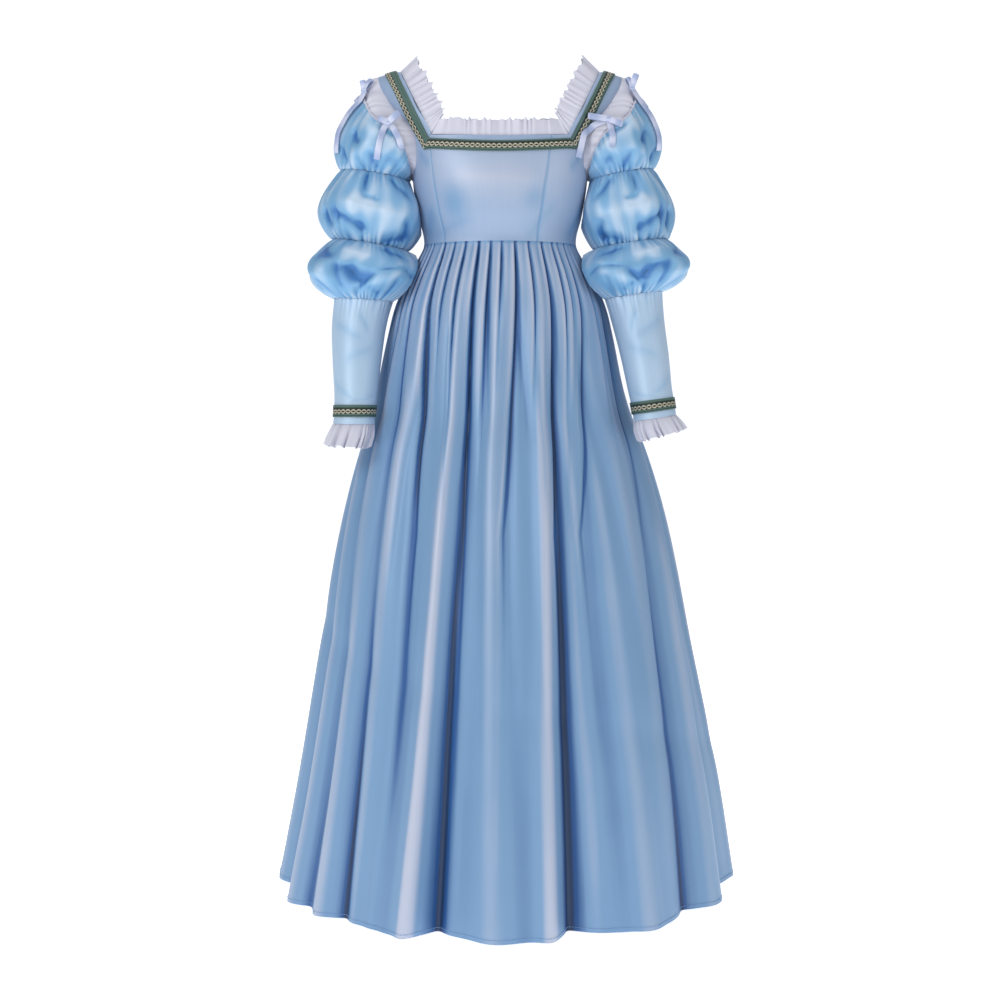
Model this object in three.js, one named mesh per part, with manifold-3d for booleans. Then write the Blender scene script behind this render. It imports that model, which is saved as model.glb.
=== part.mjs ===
// A tudor gown in pale blue satin, in the hollow form of a worn gown, as one closed wall for each sewn piece.
// Millimetres, +Z up, +X to the right of someone who faces the gown, front towards -Y.
// The origin is on the shoulder line, midway between the two straps.

import * as THREE from 'three';
import Module from 'manifold-3d';
import { mergeVertices } from 'three/addons/utils/BufferGeometryUtils.js';

const wasm = await Module();
wasm.setup();

// ---- driving dimensions ----
const clothThickness = 1.5;
const braidThickness = 1.2;
const ribbonThickness = 1.0;
const ribbonWidth = 10;
const seamGap = 0.3;

const waistHeight = -296;
const hemHeight = -1365;
const frontNeckHeight = -123.7;
const frontCornerHeight = -119;
const backNeckHeight = -97;
const shoulderSlope = 0.3;
const shoulderSlopeStart = 178;

const braidWidth = 18;
const braidInset = 6;
const ruffleHeight = 26;

const pleatCount = 36;
const columnsPerPleat = 4;
const gathersPerPuff = 14;
const gatherDepth = 2.2;
const bodyClearance = 4;
const skirtClearance = 11;

// The gown's outline at each height, as a rounded section: half width, how much less it is on the left,
// depth in front, depth behind, and how square the section is (2 is an ellipse).
const figure = [
  { height: -1365, halfWidth: 380, leftEase: 15, front: 366, back: 362, square: 2 },
  { height: -1176, halfWidth: 353, leftEase: 22, front: 346, back: 340, square: 2 },
  { height: -974, halfWidth: 316, leftEase: 18, front: 318, back: 308, square: 2 },
  { height: -778, halfWidth: 280, leftEase: 14, front: 277, back: 266, square: 2 },
  { height: -641, halfWidth: 243, leftEase: 8, front: 238, back: 226, square: 2 },
  { height: -583, halfWidth: 221, leftEase: 4, front: 216, back: 205, square: 2 },
  { height: -530, halfWidth: 207, leftEase: 0, front: 201, back: 190, square: 2 },
  { height: -450, halfWidth: 190, leftEase: 0, front: 177, back: 167, square: 2 },
  { height: -400, halfWidth: 177, leftEase: 0, front: 160, back: 149, square: 2 },
  { height: -350, halfWidth: 155, leftEase: 0, front: 134, back: 124, square: 2 },
  { height: -318, halfWidth: 138, leftEase: 0, front: 115, back: 106, square: 2 },
  { height: -296, halfWidth: 129, leftEase: 0, front: 104, back: 96, square: 2 },
  { height: -245, halfWidth: 139, leftEase: 0, front: 117, back: 97, square: 2.1 },
  { height: -205, halfWidth: 146, leftEase: 0, front: 121, back: 99, square: 2.2 },
  { height: -172, halfWidth: 149, leftEase: 0, front: 117, back: 97, square: 2.4 },
  { height: -140, halfWidth: 150, leftEase: 0, front: 110, back: 93, square: 2.6 },
  { height: -110, halfWidth: 157, leftEase: 0, front: 101, back: 86, square: 2.8 },
  { height: -72, halfWidth: 186, leftEase: 0, front: 86, back: 73, square: 3 },
  { height: -32, halfWidth: 206, leftEase: 0, front: 60, back: 52, square: 3 },
  { height: -12, halfWidth: 213, leftEase: 0, front: 38, back: 33, square: 3 },
  { height: -3, halfWidth: 215, leftEase: 0, front: 19, back: 17, square: 3 },
  { height: 0, halfWidth: 216, leftEase: 0, front: 0, back: 0, square: 3 },
];

// The deep folds of the skirt, as valleys that run from the waist to the hem. Each is given by its
// angle in degrees from the centre front (positive to the right), its depth and its half width.
const folds = [
  { waist: -75, hip: -66, knee: -59, hem: -59, hipDepth: 5, kneeDepth: 12, hemDepth: 18, spread: 6 },
  { waist: -60, hip: -52, knee: -46, hem: -44, hipDepth: 8, kneeDepth: 18, hemDepth: 26, spread: 7 },
  { waist: -45, hip: -35, knee: -31, hem: -31, hipDepth: 10, kneeDepth: 19, hemDepth: 14, spread: 7 },
  { waist: -16, hip: -14, knee: -15.4, hem: -16.6, hipDepth: 11, kneeDepth: 23, hemDepth: 36, spread: 7 },
  { waist: 11, hip: 3.8, knee: 3.2, hem: 5, hipDepth: 8, kneeDepth: 12, hemDepth: 12, spread: 6 },
  { waist: 32, hip: 22.5, knee: 19, hem: 18, hipDepth: 11, kneeDepth: 23, hemDepth: 36, spread: 7 },
  { waist: 54, hip: 35, knee: 31, hem: 32, hipDepth: 9, kneeDepth: 18, hemDepth: 16, spread: 7 },
  { waist: 75, hip: 64, knee: 57, hem: 53.5, hipDepth: 8, kneeDepth: 18, hemDepth: 26, spread: 7 },
  { waist: 94, hip: 84, knee: 79, hem: 76, hipDepth: 6, kneeDepth: 14, hemDepth: 20, spread: 7 },
  { waist: 112, hip: 105, knee: 101, hem: 99, hipDepth: 9, kneeDepth: 19, hemDepth: 28, spread: 7 },
  { waist: 130, hip: 127, knee: 123, hem: 120, hipDepth: 7, kneeDepth: 13, hemDepth: 18, spread: 7 },
  { waist: 150, hip: 147, knee: 145, hem: 142, hipDepth: 11, kneeDepth: 22, hemDepth: 34, spread: 7 },
  { waist: 168, hip: 167, knee: 165, hem: 163, hipDepth: 8, kneeDepth: 14, hemDepth: 20, spread: 6 },
  { waist: -172, hip: -171, knee: -172, hem: -174, hipDepth: 9, kneeDepth: 18, hemDepth: 27, spread: 6 },
  { waist: -153, hip: -151, knee: -150, hem: -151, hipDepth: 9, kneeDepth: 20, hemDepth: 32, spread: 7 },
  { waist: -134, hip: -130, knee: -128, hem: -127, hipDepth: 7, kneeDepth: 13, hemDepth: 18, spread: 7 },
  { waist: -114, hip: -108, knee: -104, hem: -103, hipDepth: 9, kneeDepth: 19, hemDepth: 28, spread: 7 },
  { waist: -94, hip: -86, knee: -80, hem: -79, hipDepth: 6, kneeDepth: 14, hemDepth: 20, spread: 7 },
];
const hipHeight = -632;
const kneeHeight = -974;

// How far the pleats stand in from the cloth between them, down the skirt.
const pleatDepths = [
  { height: -1365, depth: 0 },
  { height: -760, depth: 0 },
  { height: -560, depth: 0.8 },
  { height: -440, depth: 2.2 },
  { height: -350, depth: 4 },
  { height: -318, depth: 3.6 },
  { height: -296, depth: 2 },
];

const skirtHeights = [-1365, -1190, -1020, -860, -700, -560, -440, -352, -314, -296];

// The top edge of the upper puff, by the angle round the armhole from the shoulder point down the front
// to the underarm. The back repeats it, a little shallower.
const puffTop = [
  { around: 0, x: 230, y: 0, height: -36 },
  { around: 41, x: 222, y: -38, height: -62 },
  { around: 77, x: 204, y: -66, height: -90 },
  { around: 93, x: 178, y: -70, height: -109 },
  { around: 114, x: 160, y: -67, height: -134 },
  { around: 140, x: 153, y: -50, height: -160 },
  { around: 180, x: 153, y: -3, height: -178 },
];
const armholeMiddle = -105;
const armholeBackDepth = 0.85;

// Rings of each sleeve. outer and inner are distances from the centre plane, middle and depth place the
// ring from front to back, and belly is how far the puff above the ring swells outwards.
const sleeves = {
  left: {
    side: -1,
    gathers: [
      { outer: 268, inner: 154, middle: -6, depth: 54, outerHeight: -168, innerHeight: -187, belly: 22 },
      { outer: 281, inner: 157, middle: -16, depth: 60, outerHeight: -286, innerHeight: -306, belly: 30 },
      { outer: 277, inner: 180, middle: -44, depth: 50, outerHeight: -388, innerHeight: -394, belly: 49 },
    ],
    forearm: [
      { outer: 280, inner: 190, middle: -58, depth: 47, outerHeight: -436, innerHeight: -438 },
      { outer: 277, inner: 196, middle: -78, depth: 43, outerHeight: -490, innerHeight: -490 },
      { outer: 272, inner: 201, middle: -100, depth: 38, outerHeight: -545, innerHeight: -545 },
      { outer: 271, inner: 203, middle: -110, depth: 35, outerHeight: -566, innerHeight: -566 },
      { outer: 271, inner: 204, middle: -119, depth: 34, outerHeight: -586, innerHeight: -586 },
      { outer: 272, inner: 204, middle: -123, depth: 34, outerHeight: -596, innerHeight: -597 },
    ],
    ruffle: [
      { outer: 279, inner: 206, middle: -128, depth: 40, outerHeight: -614, innerHeight: -616 },
      { outer: 283, inner: 212, middle: -131, depth: 46, outerHeight: -630, innerHeight: -634 },
    ],
  },
  right: {
    side: 1,
    gathers: [
      { outer: 258, inner: 151, middle: -6, depth: 53, outerHeight: -166, innerHeight: -187, belly: 22 },
      { outer: 281, inner: 160, middle: -16, depth: 60, outerHeight: -286, innerHeight: -303, belly: 22 },
      { outer: 271, inner: 174, middle: -44, depth: 50, outerHeight: -376, innerHeight: -390, belly: 48 },
    ],
    forearm: [
      { outer: 274, inner: 188, middle: -58, depth: 47, outerHeight: -428, innerHeight: -436 },
      { outer: 279, inner: 200, middle: -78, depth: 43, outerHeight: -482, innerHeight: -488 },
      { outer: 282, inner: 210, middle: -98, depth: 38, outerHeight: -534, innerHeight: -541 },
      { outer: 284, inner: 214, middle: -108, depth: 35, outerHeight: -553, innerHeight: -562 },
      { outer: 286, inner: 217, middle: -117, depth: 34, outerHeight: -572, innerHeight: -582 },
      { outer: 287, inner: 218, middle: -121, depth: 34, outerHeight: -581, innerHeight: -592 },
    ],
    ruffle: [
      { outer: 294, inner: 219, middle: -126, depth: 40, outerHeight: -592, innerHeight: -608 },
      { outer: 300, inner: 225, middle: -129, depth: 46, outerHeight: -604, innerHeight: -624 },
    ],
  },
};

// ---- finishes ----
const satinBlue = { color: 0x93b2d6, roughness: 0.38, metalness: 0 };
const satinSleeve = { color: 0x7fb4e0, roughness: 0.35, metalness: 0 };
const whiteLawn = { color: 0xdcd8ea, roughness: 0.85, metalness: 0 };
const braid = { color: 0x35483c, roughness: 0.6, metalness: 0 };
const ribbon = { color: 0xc6d0e6, roughness: 0.3, metalness: 0 };

const gown = new THREE.Group();

function addPiece(name, geometry, finish) {
  const mesh = new THREE.Mesh(geometry, new THREE.MeshStandardMaterial(finish));
  mesh.name = name;
  gown.add(mesh);
}

// ---- shared working ----
const degrees = Math.PI / 180;
const clamp01 = (value) => Math.min(1, Math.max(0, value));
const mix = (from, to, share) => from + (to - from) * share;

// A smooth curve through one column of a table, read at any value of its key column.
function readTable(table, key, column, value) {
  const last = table.length - 1;
  if (value <= table[0][key]) return table[0][column];
  if (value >= table[last][key]) return table[last][column];
  let row = 0;
  while (table[row + 1][key] < value) row += 1;
  const slope = (a, b) => (table[b][column] - table[a][column]) / (table[b][key] - table[a][key]);
  const step = table[row + 1][key] - table[row][key];
  const here = slope(row, row + 1);
  const before = row > 0 ? (slope(row - 1, row) + here) / 2 : here;
  const after = row + 1 < last ? (here + slope(row + 1, row + 2)) / 2 : here;
  const t = (value - table[row][key]) / step;
  const start = table[row][column] * (1 + 2 * t) * (1 - t) ** 2 + before * step * t * (1 - t) ** 2;
  const end = table[row + 1][column] * t * t * (3 - 2 * t) - after * step * t * t * (1 - t);
  return start + end;
}

const figureAt = (column, height) => readTable(figure, 'height', column, height);

// Turns a distance from the centre plane into the angle round the section that reaches it.
function angleOf(x, height) {
  const share = clamp01(Math.abs(x) / figureAt('halfWidth', height));
  return Math.asin(share ** (figureAt('square', height) / 2)) / degrees;
}

// A point on the gown's outline: angle in degrees from the centre front, positive to the right.
function bodyPoint(angle, height) {
  const power = 2 / figureAt('square', height);
  const across = Math.sin(angle * degrees);
  const along = Math.cos(angle * degrees);
  const depth = figureAt(along >= 0 ? 'front' : 'back', height);
  const halfWidth = figureAt('halfWidth', height) - (across < 0 ? figureAt('leftEase', height) : 0);
  const x = halfWidth * Math.sign(across) * Math.abs(across) ** power;
  const y = -depth * Math.sign(along) * Math.abs(along) ** power;
  const slopeShare = clamp01(1 + height / 70);
  const drop = shoulderSlope * Math.max(0, Math.abs(x) - shoulderSlopeStart) * slopeShare;
  return new THREE.Vector3(x, y, height - drop);
}

// The outward direction there. On the shoulder line it is straight up.
function bodyNormal(angle, height) {
  if (height > -1) return new THREE.Vector3(0, 0, 1);
  const turn = 1.5;
  const rise = Math.min(1, -height / 3);
  const around = bodyPoint(angle + turn, height).sub(bodyPoint(angle - turn, height));
  const up = bodyPoint(angle, height + rise).sub(bodyPoint(angle, height - rise));
  return around.cross(up).normalize();
}

// One closed body from two matching grids of points, the outer and the inner face of the cloth.
function wallGeometry(outer, inner, closedRing) {
  const rows = outer.length;
  const columns = outer[0].length;
  const positions = [];
  for (const grid of [outer, inner]) {
    for (const row of grid) {
      for (const point of row) positions.push(point.x, point.y, point.z);
    }
  }
  const outside = (row, column) => row * columns + (column % columns);
  const inside = (row, column) => rows * columns + outside(row, column);
  let index = [];
  const quad = (a, b, c, d) => index.push(a, b, c, a, c, d);
  const spans = closedRing ? columns : columns - 1;
  const top = rows - 1;
  for (let column = 0; column < spans; column += 1) {
    const next = column + 1;
    for (let row = 0; row < top; row += 1) {
      quad(outside(row, column), outside(row, next), outside(row + 1, next), outside(row + 1, column));
      quad(inside(row, column), inside(row + 1, column), inside(row + 1, next), inside(row, next));
    }
    quad(inside(0, column), inside(0, next), outside(0, next), outside(0, column));
    quad(outside(top, column), outside(top, next), inside(top, next), inside(top, column));
  }
  if (!closedRing) {
    const end = columns - 1;
    for (let row = 0; row < top; row += 1) {
      quad(outside(row, 0), outside(row + 1, 0), inside(row + 1, 0), inside(row, 0));
      quad(outside(row + 1, end), outside(row, end), inside(row, end), inside(row + 1, end));
    }
  }
  if (signedVolume(positions, index) < 0) index = index.reverse();
  const geometry = new THREE.BufferGeometry();
  geometry.setAttribute('position', new THREE.Float32BufferAttribute(positions, 3));
  geometry.setIndex(index);
  return geometry;
}

function signedVolume(positions, index) {
  const corner = (place) => new THREE.Vector3().fromArray(positions, index[place] * 3);
  let total = 0;
  for (let place = 0; place < index.length; place += 3) {
    total += corner(place).dot(corner(place + 1).cross(corner(place + 2)));
  }
  return total / 6;
}

// Directions square to a grid of points, from its neighbours along and across.
function gridNormals(grid, closedRing) {
  const rows = grid.length;
  const columns = grid[0].length;
  const beside = (column, step) => {
    if (closedRing) return (column + step + columns) % columns;
    return Math.min(columns - 1, Math.max(0, column + step));
  };
  return grid.map((row, r) => row.map((point, c) => {
    const along = row[beside(c, 1)].clone().sub(row[beside(c, -1)]);
    const above = grid[Math.min(rows - 1, r + 1)][c];
    const below = grid[Math.max(0, r - 1)][c];
    return along.cross(above.clone().sub(below)).normalize();
  }));
}

// Moves each point of a grid along its direction.
function moved(grid, normals, distance) {
  return grid.map((row, r) => row.map((point, c) => point.clone().addScaledVector(normals[r][c], distance)));
}

// Draws the first or last column of a grid in by half a seam.
function drawIn(grid, column, towards) {
  for (const row of grid) {
    const step = row[towards].clone().sub(row[column]).setLength(seamGap / 2);
    row[column] = row[column].clone().add(step);
  }
}

function drawInSides(grids) {
  for (const grid of grids) {
    const last = grid[0].length - 1;
    drawIn(grid, 0, 1);
    drawIn(grid, last, last - 1);
  }
}

// ---- skirt: three panels, knife pleated into the waist seam ----
const skirtColumns = pleatCount * columnsPerPleat;
const columnAngle = 360 / skirtColumns;

function turnBetween(a, b) {
  return ((a - b + 540) % 360) - 180;
}

function foldPlace(fold, height) {
  if (height > hipHeight) return mix(fold.hip, fold.waist, (height - hipHeight) / (waistHeight - hipHeight));
  if (height > kneeHeight) return mix(fold.knee, fold.hip, (height - kneeHeight) / (hipHeight - kneeHeight));
  return mix(fold.hem, fold.knee, (height - hemHeight) / (kneeHeight - hemHeight));
}

function foldDepth(fold, height) {
  if (height > hipHeight) return fold.hipDepth * clamp01((waistHeight - height) / (waistHeight - hipHeight));
  if (height > kneeHeight) {
    return mix(fold.kneeDepth, fold.hipDepth, (height - kneeHeight) / (hipHeight - kneeHeight));
  }
  return mix(fold.hemDepth, fold.kneeDepth, (height - hemHeight) / (kneeHeight - hemHeight));
}

function foldOffset(angle, height) {
  let offset = 0;
  for (const fold of folds) {
    const away = turnBetween(angle, foldPlace(fold, height)) / fold.spread;
    const depth = foldDepth(fold, height);
    offset -= depth * Math.exp(-away * away);
    offset += depth * 0.45 * Math.exp(-((Math.abs(away) - 1.6) ** 2) * 2);
  }
  return offset;
}

// A pleat is a narrow valley in one column out of each few, with its edge a little proud beside it.
const pleatProfile = [-1, -0.1, 0.35, 0.1];

function skirtPoint(column, height) {
  const angle = column * columnAngle - 180;
  const point = bodyPoint(angle, height);
  const outwards = new THREE.Vector3(point.x, point.y, 0).normalize();
  const pleat = pleatProfile[column % columnsPerPleat] * readTable(pleatDepths, 'height', 'depth', height);
  point.addScaledVector(outwards, pleat + foldOffset(angle, height));
  if (height === waistHeight) point.z -= seamGap;
  return point;
}

function makeSkirt() {
  const ring = Array.from({ length: skirtColumns }, (_, column) => column);
  const outer = skirtHeights.map((height) => ring.map((column) => skirtPoint(column, height)));
  const inner = moved(outer, gridNormals(outer, true), -clothThickness);
  const quarter = skirtColumns / 4;
  const panels = [
    { name: 'skirt_back_left', first: 0, last: quarter },
    { name: 'skirt_front', first: quarter, last: 3 * quarter },
    { name: 'skirt_back_right', first: 3 * quarter, last: skirtColumns },
  ];
  for (const panel of panels) {
    const columns = Array.from({ length: panel.last - panel.first + 1 }, (_, step) => panel.first + step);
    const slice = (grid) => grid.map((row) => columns.map((column) => row[column % skirtColumns].clone()));
    const faces = [slice(outer), slice(inner)];
    drawInSides(faces);
    addPiece(panel.name, wallGeometry(faces[0], faces[1], false), satinBlue);
  }
}

// ---- bodice: a centre front, two side fronts and two backs, the straps cut in one with them ----
const princessSeams = {
  left: { waist: -46, top: -46 },
  right: { waist: 29, top: 27.5 },
};

// Each row of a side front or a back runs from its inner edge to its outer edge. A place is given by
// its height with either its angle or its distance from the centre plane.
const strapRows = [
  { innerX: 130, innerHeight: -85, outerX: 157, outerHeight: -92 },
  { innerX: 147, innerHeight: -50, outerX: 186, outerHeight: -58 },
  { innerX: 160, innerHeight: -22, outerX: 202, outerHeight: -26 },
  { innerX: 167, innerHeight: -6, outerX: 206, outerHeight: -7 },
  { innerX: 169, innerHeight: 0, outerX: 207, outerHeight: 0 },
];
const sideFrontRows = [
  { rise: 0, outerAngle: 90, outerHeight: -296 },
  { rise: 0.16, outerAngle: 90, outerHeight: -268 },
  { rise: 0.32, outerAngle: 90, outerHeight: -240 },
  { rise: 0.48, outerAngle: 90, outerHeight: -213 },
  { rise: 0.64, outerAngle: 90, outerHeight: -187 },
  { rise: 0.82, outerX: 141, outerHeight: -168 },
  { rise: 1, outerX: 139.5, outerHeight: -148 },
];
const necklineTurn = 50;
const backStrapFoot = { innerX: 138, innerHeight: -69, outerX: 174, outerHeight: -78 };
const frontUnderarmRow = 4;
const backUnderarmRow = 3;
const frontCornerX = 114;
const backCornerX = 124;
const backRows = [
  { innerAngle: 180, innerHeight: -296, outerAngle: 90, outerHeight: -296 },
  { innerAngle: 180, innerHeight: -255, outerAngle: 90, outerHeight: -262 },
  { innerAngle: 180, innerHeight: -214, outerAngle: 90, outerHeight: -229 },
  { innerAngle: 180, innerHeight: -172, outerAngle: 90, outerHeight: -187 },
  { innerAngle: 180, innerHeight: -130, outerX: 141, outerHeight: -170 },
  { innerAngle: 180, innerHeight: backNeckHeight, outerX: 139.5, outerHeight: -152 },
  { innerAngle: 158, innerHeight: backNeckHeight, outerX: 141, outerHeight: -135 },
  { innerAngle: 142, innerHeight: backNeckHeight, outerX: 144, outerHeight: -121 },
];

// Fills a row with places between its two edges, in angle and height.
function rowPlaces(innerAngle, innerHeight, outerAngle, outerHeight, spans) {
  return Array.from({ length: spans + 1 }, (_, step) => {
    const share = step / spans;
    return { angle: mix(innerAngle, outerAngle, share), height: mix(innerHeight, outerHeight, share) };
  });
}

// A strap row runs straight across, so its places follow the distance from the centre plane.
function strapPlaces(row, spans, toAngle) {
  return Array.from({ length: spans + 1 }, (_, step) => {
    const share = step / spans;
    const height = mix(row.innerHeight, row.outerHeight, share);
    return { angle: toAngle(mix(row.innerX, row.outerX, share), height), height };
  });
}

const armholeEdges = {};

function bodicePanel(name, places) {
  const outer = places.map((row) => row.map((place) => bodyPoint(place.angle, place.height)));
  const normals = places.map((row) => row.map((place) => {
    const normal = bodyNormal(place.angle, place.height);
    return place.height === waistHeight ? normal.setZ(0).normalize() : normal;
  }));
  const faces = [outer, moved(outer, normals, -clothThickness)];
  drawInSides(faces);
  for (const grid of faces) {
    const top = grid.length - 1;
    grid[top] = grid[top].map((point, column) => {
      const step = grid[top - 1][column].clone().sub(point).setLength(seamGap / 2);
      return point.clone().add(step);
    });
  }
  addPiece(name, wallGeometry(faces[0], faces[1], false), satinBlue);
  return outer.map((row) => row[row.length - 1].clone());
}

function makeBodice() {
  const centreSpans = 9;
  const seamAngle = (seam, rise) => mix(seam.waist, seam.top, rise);
  const frontHeight = (angle, rise) => {
    const edge = mix(frontNeckHeight, frontCornerHeight, Math.abs(angle) / necklineTurn);
    return mix(waistHeight, edge, rise);
  };
  const centre = sideFrontRows.map(({ rise }) => Array.from({ length: centreSpans + 1 }, (_, step) => {
    const left = seamAngle(princessSeams.left, rise);
    const right = seamAngle(princessSeams.right, rise);
    const angle = mix(left, right, step / centreSpans);
    return { angle, height: frontHeight(angle, rise) };
  }));
  bodicePanel('bodice_front_centre', centre);

  for (const [sideName, side] of [['left', -1], ['right', 1]]) {
    const seam = princessSeams[sideName];
    const frontSpans = sideName === 'left' ? 6 : 8;
    const front = sideFrontRows.map((row) => {
      const innerAngle = seamAngle(seam, row.rise);
      const outerAngle = side * (row.outerAngle ?? angleOf(row.outerX, row.outerHeight));
      const innerHeight = frontHeight(innerAngle, row.rise);
      return rowPlaces(innerAngle, innerHeight, outerAngle, row.outerHeight, frontSpans);
    });
    const cornerAngle = side * angleOf(frontCornerX, frontCornerHeight);
    const cornerOuter = side * angleOf(142, -120);
    front.push(rowPlaces(cornerAngle, frontCornerHeight, cornerOuter, -120, frontSpans));
    for (const row of strapRows) {
      front.push(strapPlaces(row, frontSpans, (x, height) => side * angleOf(x, height)));
    }
    const frontEdge = bodicePanel(`bodice_front_side_${sideName}`, front);

    const backSpans = 8;
    const back = backRows.map((row) => {
      const outerAngle = row.outerAngle ?? 180 - angleOf(row.outerX, row.outerHeight);
      return rowPlaces(side * row.innerAngle, row.innerHeight, side * outerAngle, row.outerHeight, backSpans);
    });
    const backAngle = (x, height) => side * (180 - angleOf(x, height));
    back.push(rowPlaces(backAngle(backCornerX, backNeckHeight), backNeckHeight,
      backAngle(151, -107), -107, backSpans));
    back.push(strapPlaces(backStrapFoot, backSpans, backAngle));
    for (const row of strapRows.slice(1)) back.push(strapPlaces(row, backSpans, backAngle));
    const backEdge = bodicePanel(`bodice_back_${sideName}`, back);
    const upTheFront = frontEdge.slice(frontUnderarmRow).reverse();
    armholeEdges[sideName] = backEdge.slice(backUnderarmRow).concat(upTheFront);
  }
}

// The highest cloth under a patch round a point, measured along the way that the patch faces.
const castDistance = 120;

function clothUnder(targets, point, facing, reach) {
  const caster = new THREE.Raycaster();
  const back = facing.clone().negate();
  const sideways = new THREE.Vector3(0, 0, 1).cross(facing).normalize();
  const upwards = facing.clone().cross(sideways);
  let nearest = castDistance;
  for (const across of [-reach, 0, reach]) {
    for (const up of [-reach, 0, reach]) {
      const start = point.clone().addScaledVector(facing, castDistance / 2)
        .addScaledVector(sideways, across).addScaledVector(upwards, up);
      caster.set(start, back);
      const hits = caster.intersectObjects(targets, false);
      if (hits.length > 0) nearest = Math.min(nearest, hits[0].distance);
    }
  }
  return castDistance / 2 - nearest;
}

// ---- neck braid: strips laid on the bodice along its neckline, mitred at the corners ----
const neckCorners = [
  { name: 'front', cornerX: frontCornerX, edgeHeight: frontCornerHeight, middleHeight: frontNeckHeight },
  { name: 'back', cornerX: backCornerX, edgeHeight: backNeckHeight, middleHeight: backNeckHeight },
];
const braidSlant = 1.1;
const mitreSlant = 0.45;
const braidLift = 1.05;
const braidPatch = 7;
const braidSpans = 16;

function braidPiece(name, places) {
  const bodice = gown.children.filter((piece) => piece.name.startsWith('bodice'));
  const normals = places.map((row) => row.map((place) => bodyNormal(place.angle, place.height)));
  const base = places.map((row, r) => row.map((place, c) => {
    const point = bodyPoint(place.angle, place.height);
    const rise = Math.max(0, clothUnder(bodice, point, normals[r][c], braidPatch));
    return point.addScaledVector(normals[r][c], rise);
  }));
  const lower = moved(base, normals, braidLift);
  const upper = moved(base, normals, braidLift + braidThickness);
  for (const grid of [lower, upper]) {
    drawInSides([grid]);
  }
  addPiece(name, wallGeometry(upper, lower, false), braid);
}

function makeNeckBraid() {
  const acrossSpans = 2;
  for (const edge of neckCorners) {
    const spans = braidSpans;
    const facing = edge.name === 'front' ? 1 : -1;
    const rows = Array.from({ length: acrossSpans + 1 }, (_, row) => {
      const inwards = braidInset + braidWidth * (row / acrossSpans);
      const reach = edge.cornerX + inwards * mitreSlant;
      return Array.from({ length: spans + 1 }, (__, step) => {
        const x = mix(-reach, reach, step / spans);
        const share = clamp01(Math.abs(x) / edge.cornerX);
        const height = mix(edge.middleHeight - 3, edge.edgeHeight, share ** 2) - inwards;
        const angle = Math.sign(x) * angleOf(x, height);
        return { angle: facing > 0 ? angle : 180 - angle, height };
      });
    });
    braidPiece(`neck_trim_${edge.name}`, rows);
  }
  const strapPath = [
    { along: 0, x: frontCornerX, height: frontCornerHeight, facing: 1 },
    { along: 1, x: 130, height: -85, facing: 1 },
    { along: 2, x: 147, height: -50, facing: 1 },
    { along: 3, x: 160, height: -22, facing: 1 },
    { along: 4, x: 167, height: -6, facing: 1 },
    { along: 5, x: 169, height: 0, facing: 1 },
    { along: 6, x: 167, height: -6, facing: -1 },
    { along: 7, x: 160, height: -22, facing: -1 },
    { along: 8, x: 147, height: -50, facing: -1 },
    { along: 9, x: 138, height: -69, facing: -1 },
    { along: 10, x: 131, height: -84, facing: -1 },
    { along: 11, x: backCornerX, height: backNeckHeight, facing: -1 },
  ];
  for (const [sideName, side] of [['left', -1], ['right', 1]]) {
    const rows = Array.from({ length: acrossSpans + 1 }, (_, row) => {
      const inwards = braidInset + braidWidth * (row / acrossSpans);
      return strapPath.map((place, step) => {
        const atEnd = step === 0 || step === strapPath.length - 1;
        const height = atEnd ? place.height - inwards : place.height;
        const x = place.x + inwards * (atEnd ? mitreSlant : braidSlant);
        const angle = side * angleOf(x, height);
        return { angle: place.facing > 0 ? angle : side * 180 - angle, height };
      });
    });
    braidPiece(`neck_trim_${sideName}`, rows);
  }
}

// ---- neck ruffle: gathered lawn standing up from the neckline, leaning in over the neck ----
const ruffleGap = 0.8;
const cornerLean = 0.64;
const cornerFan = 34;
const ruffleLean = 0.12;
const frontWaveDepth = 3.5;
const strapWaveDepth = 3;

function rufflePiece(name, foot, lean, waves, depth) {
  const spans = foot.length - 1;
  const rowCount = 2;
  const grid = Array.from({ length: rowCount + 1 }, (_, row) => {
    const rise = row / rowCount;
    return foot.map((point, step) => {
      const wave = Math.cos((step / spans) * waves * 2 * Math.PI) * depth * (0.25 + 0.75 * rise);
      const direction = lean[step];
      return point.clone()
        .addScaledVector(direction.up, ruffleGap + ruffleHeight * rise)
        .addScaledVector(direction.out, wave);
    });
  });
  const normals = gridNormals(grid, false);
  addPiece(name, wallGeometry(grid, moved(grid, normals, -clothThickness), false), whiteLawn);
}

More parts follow.
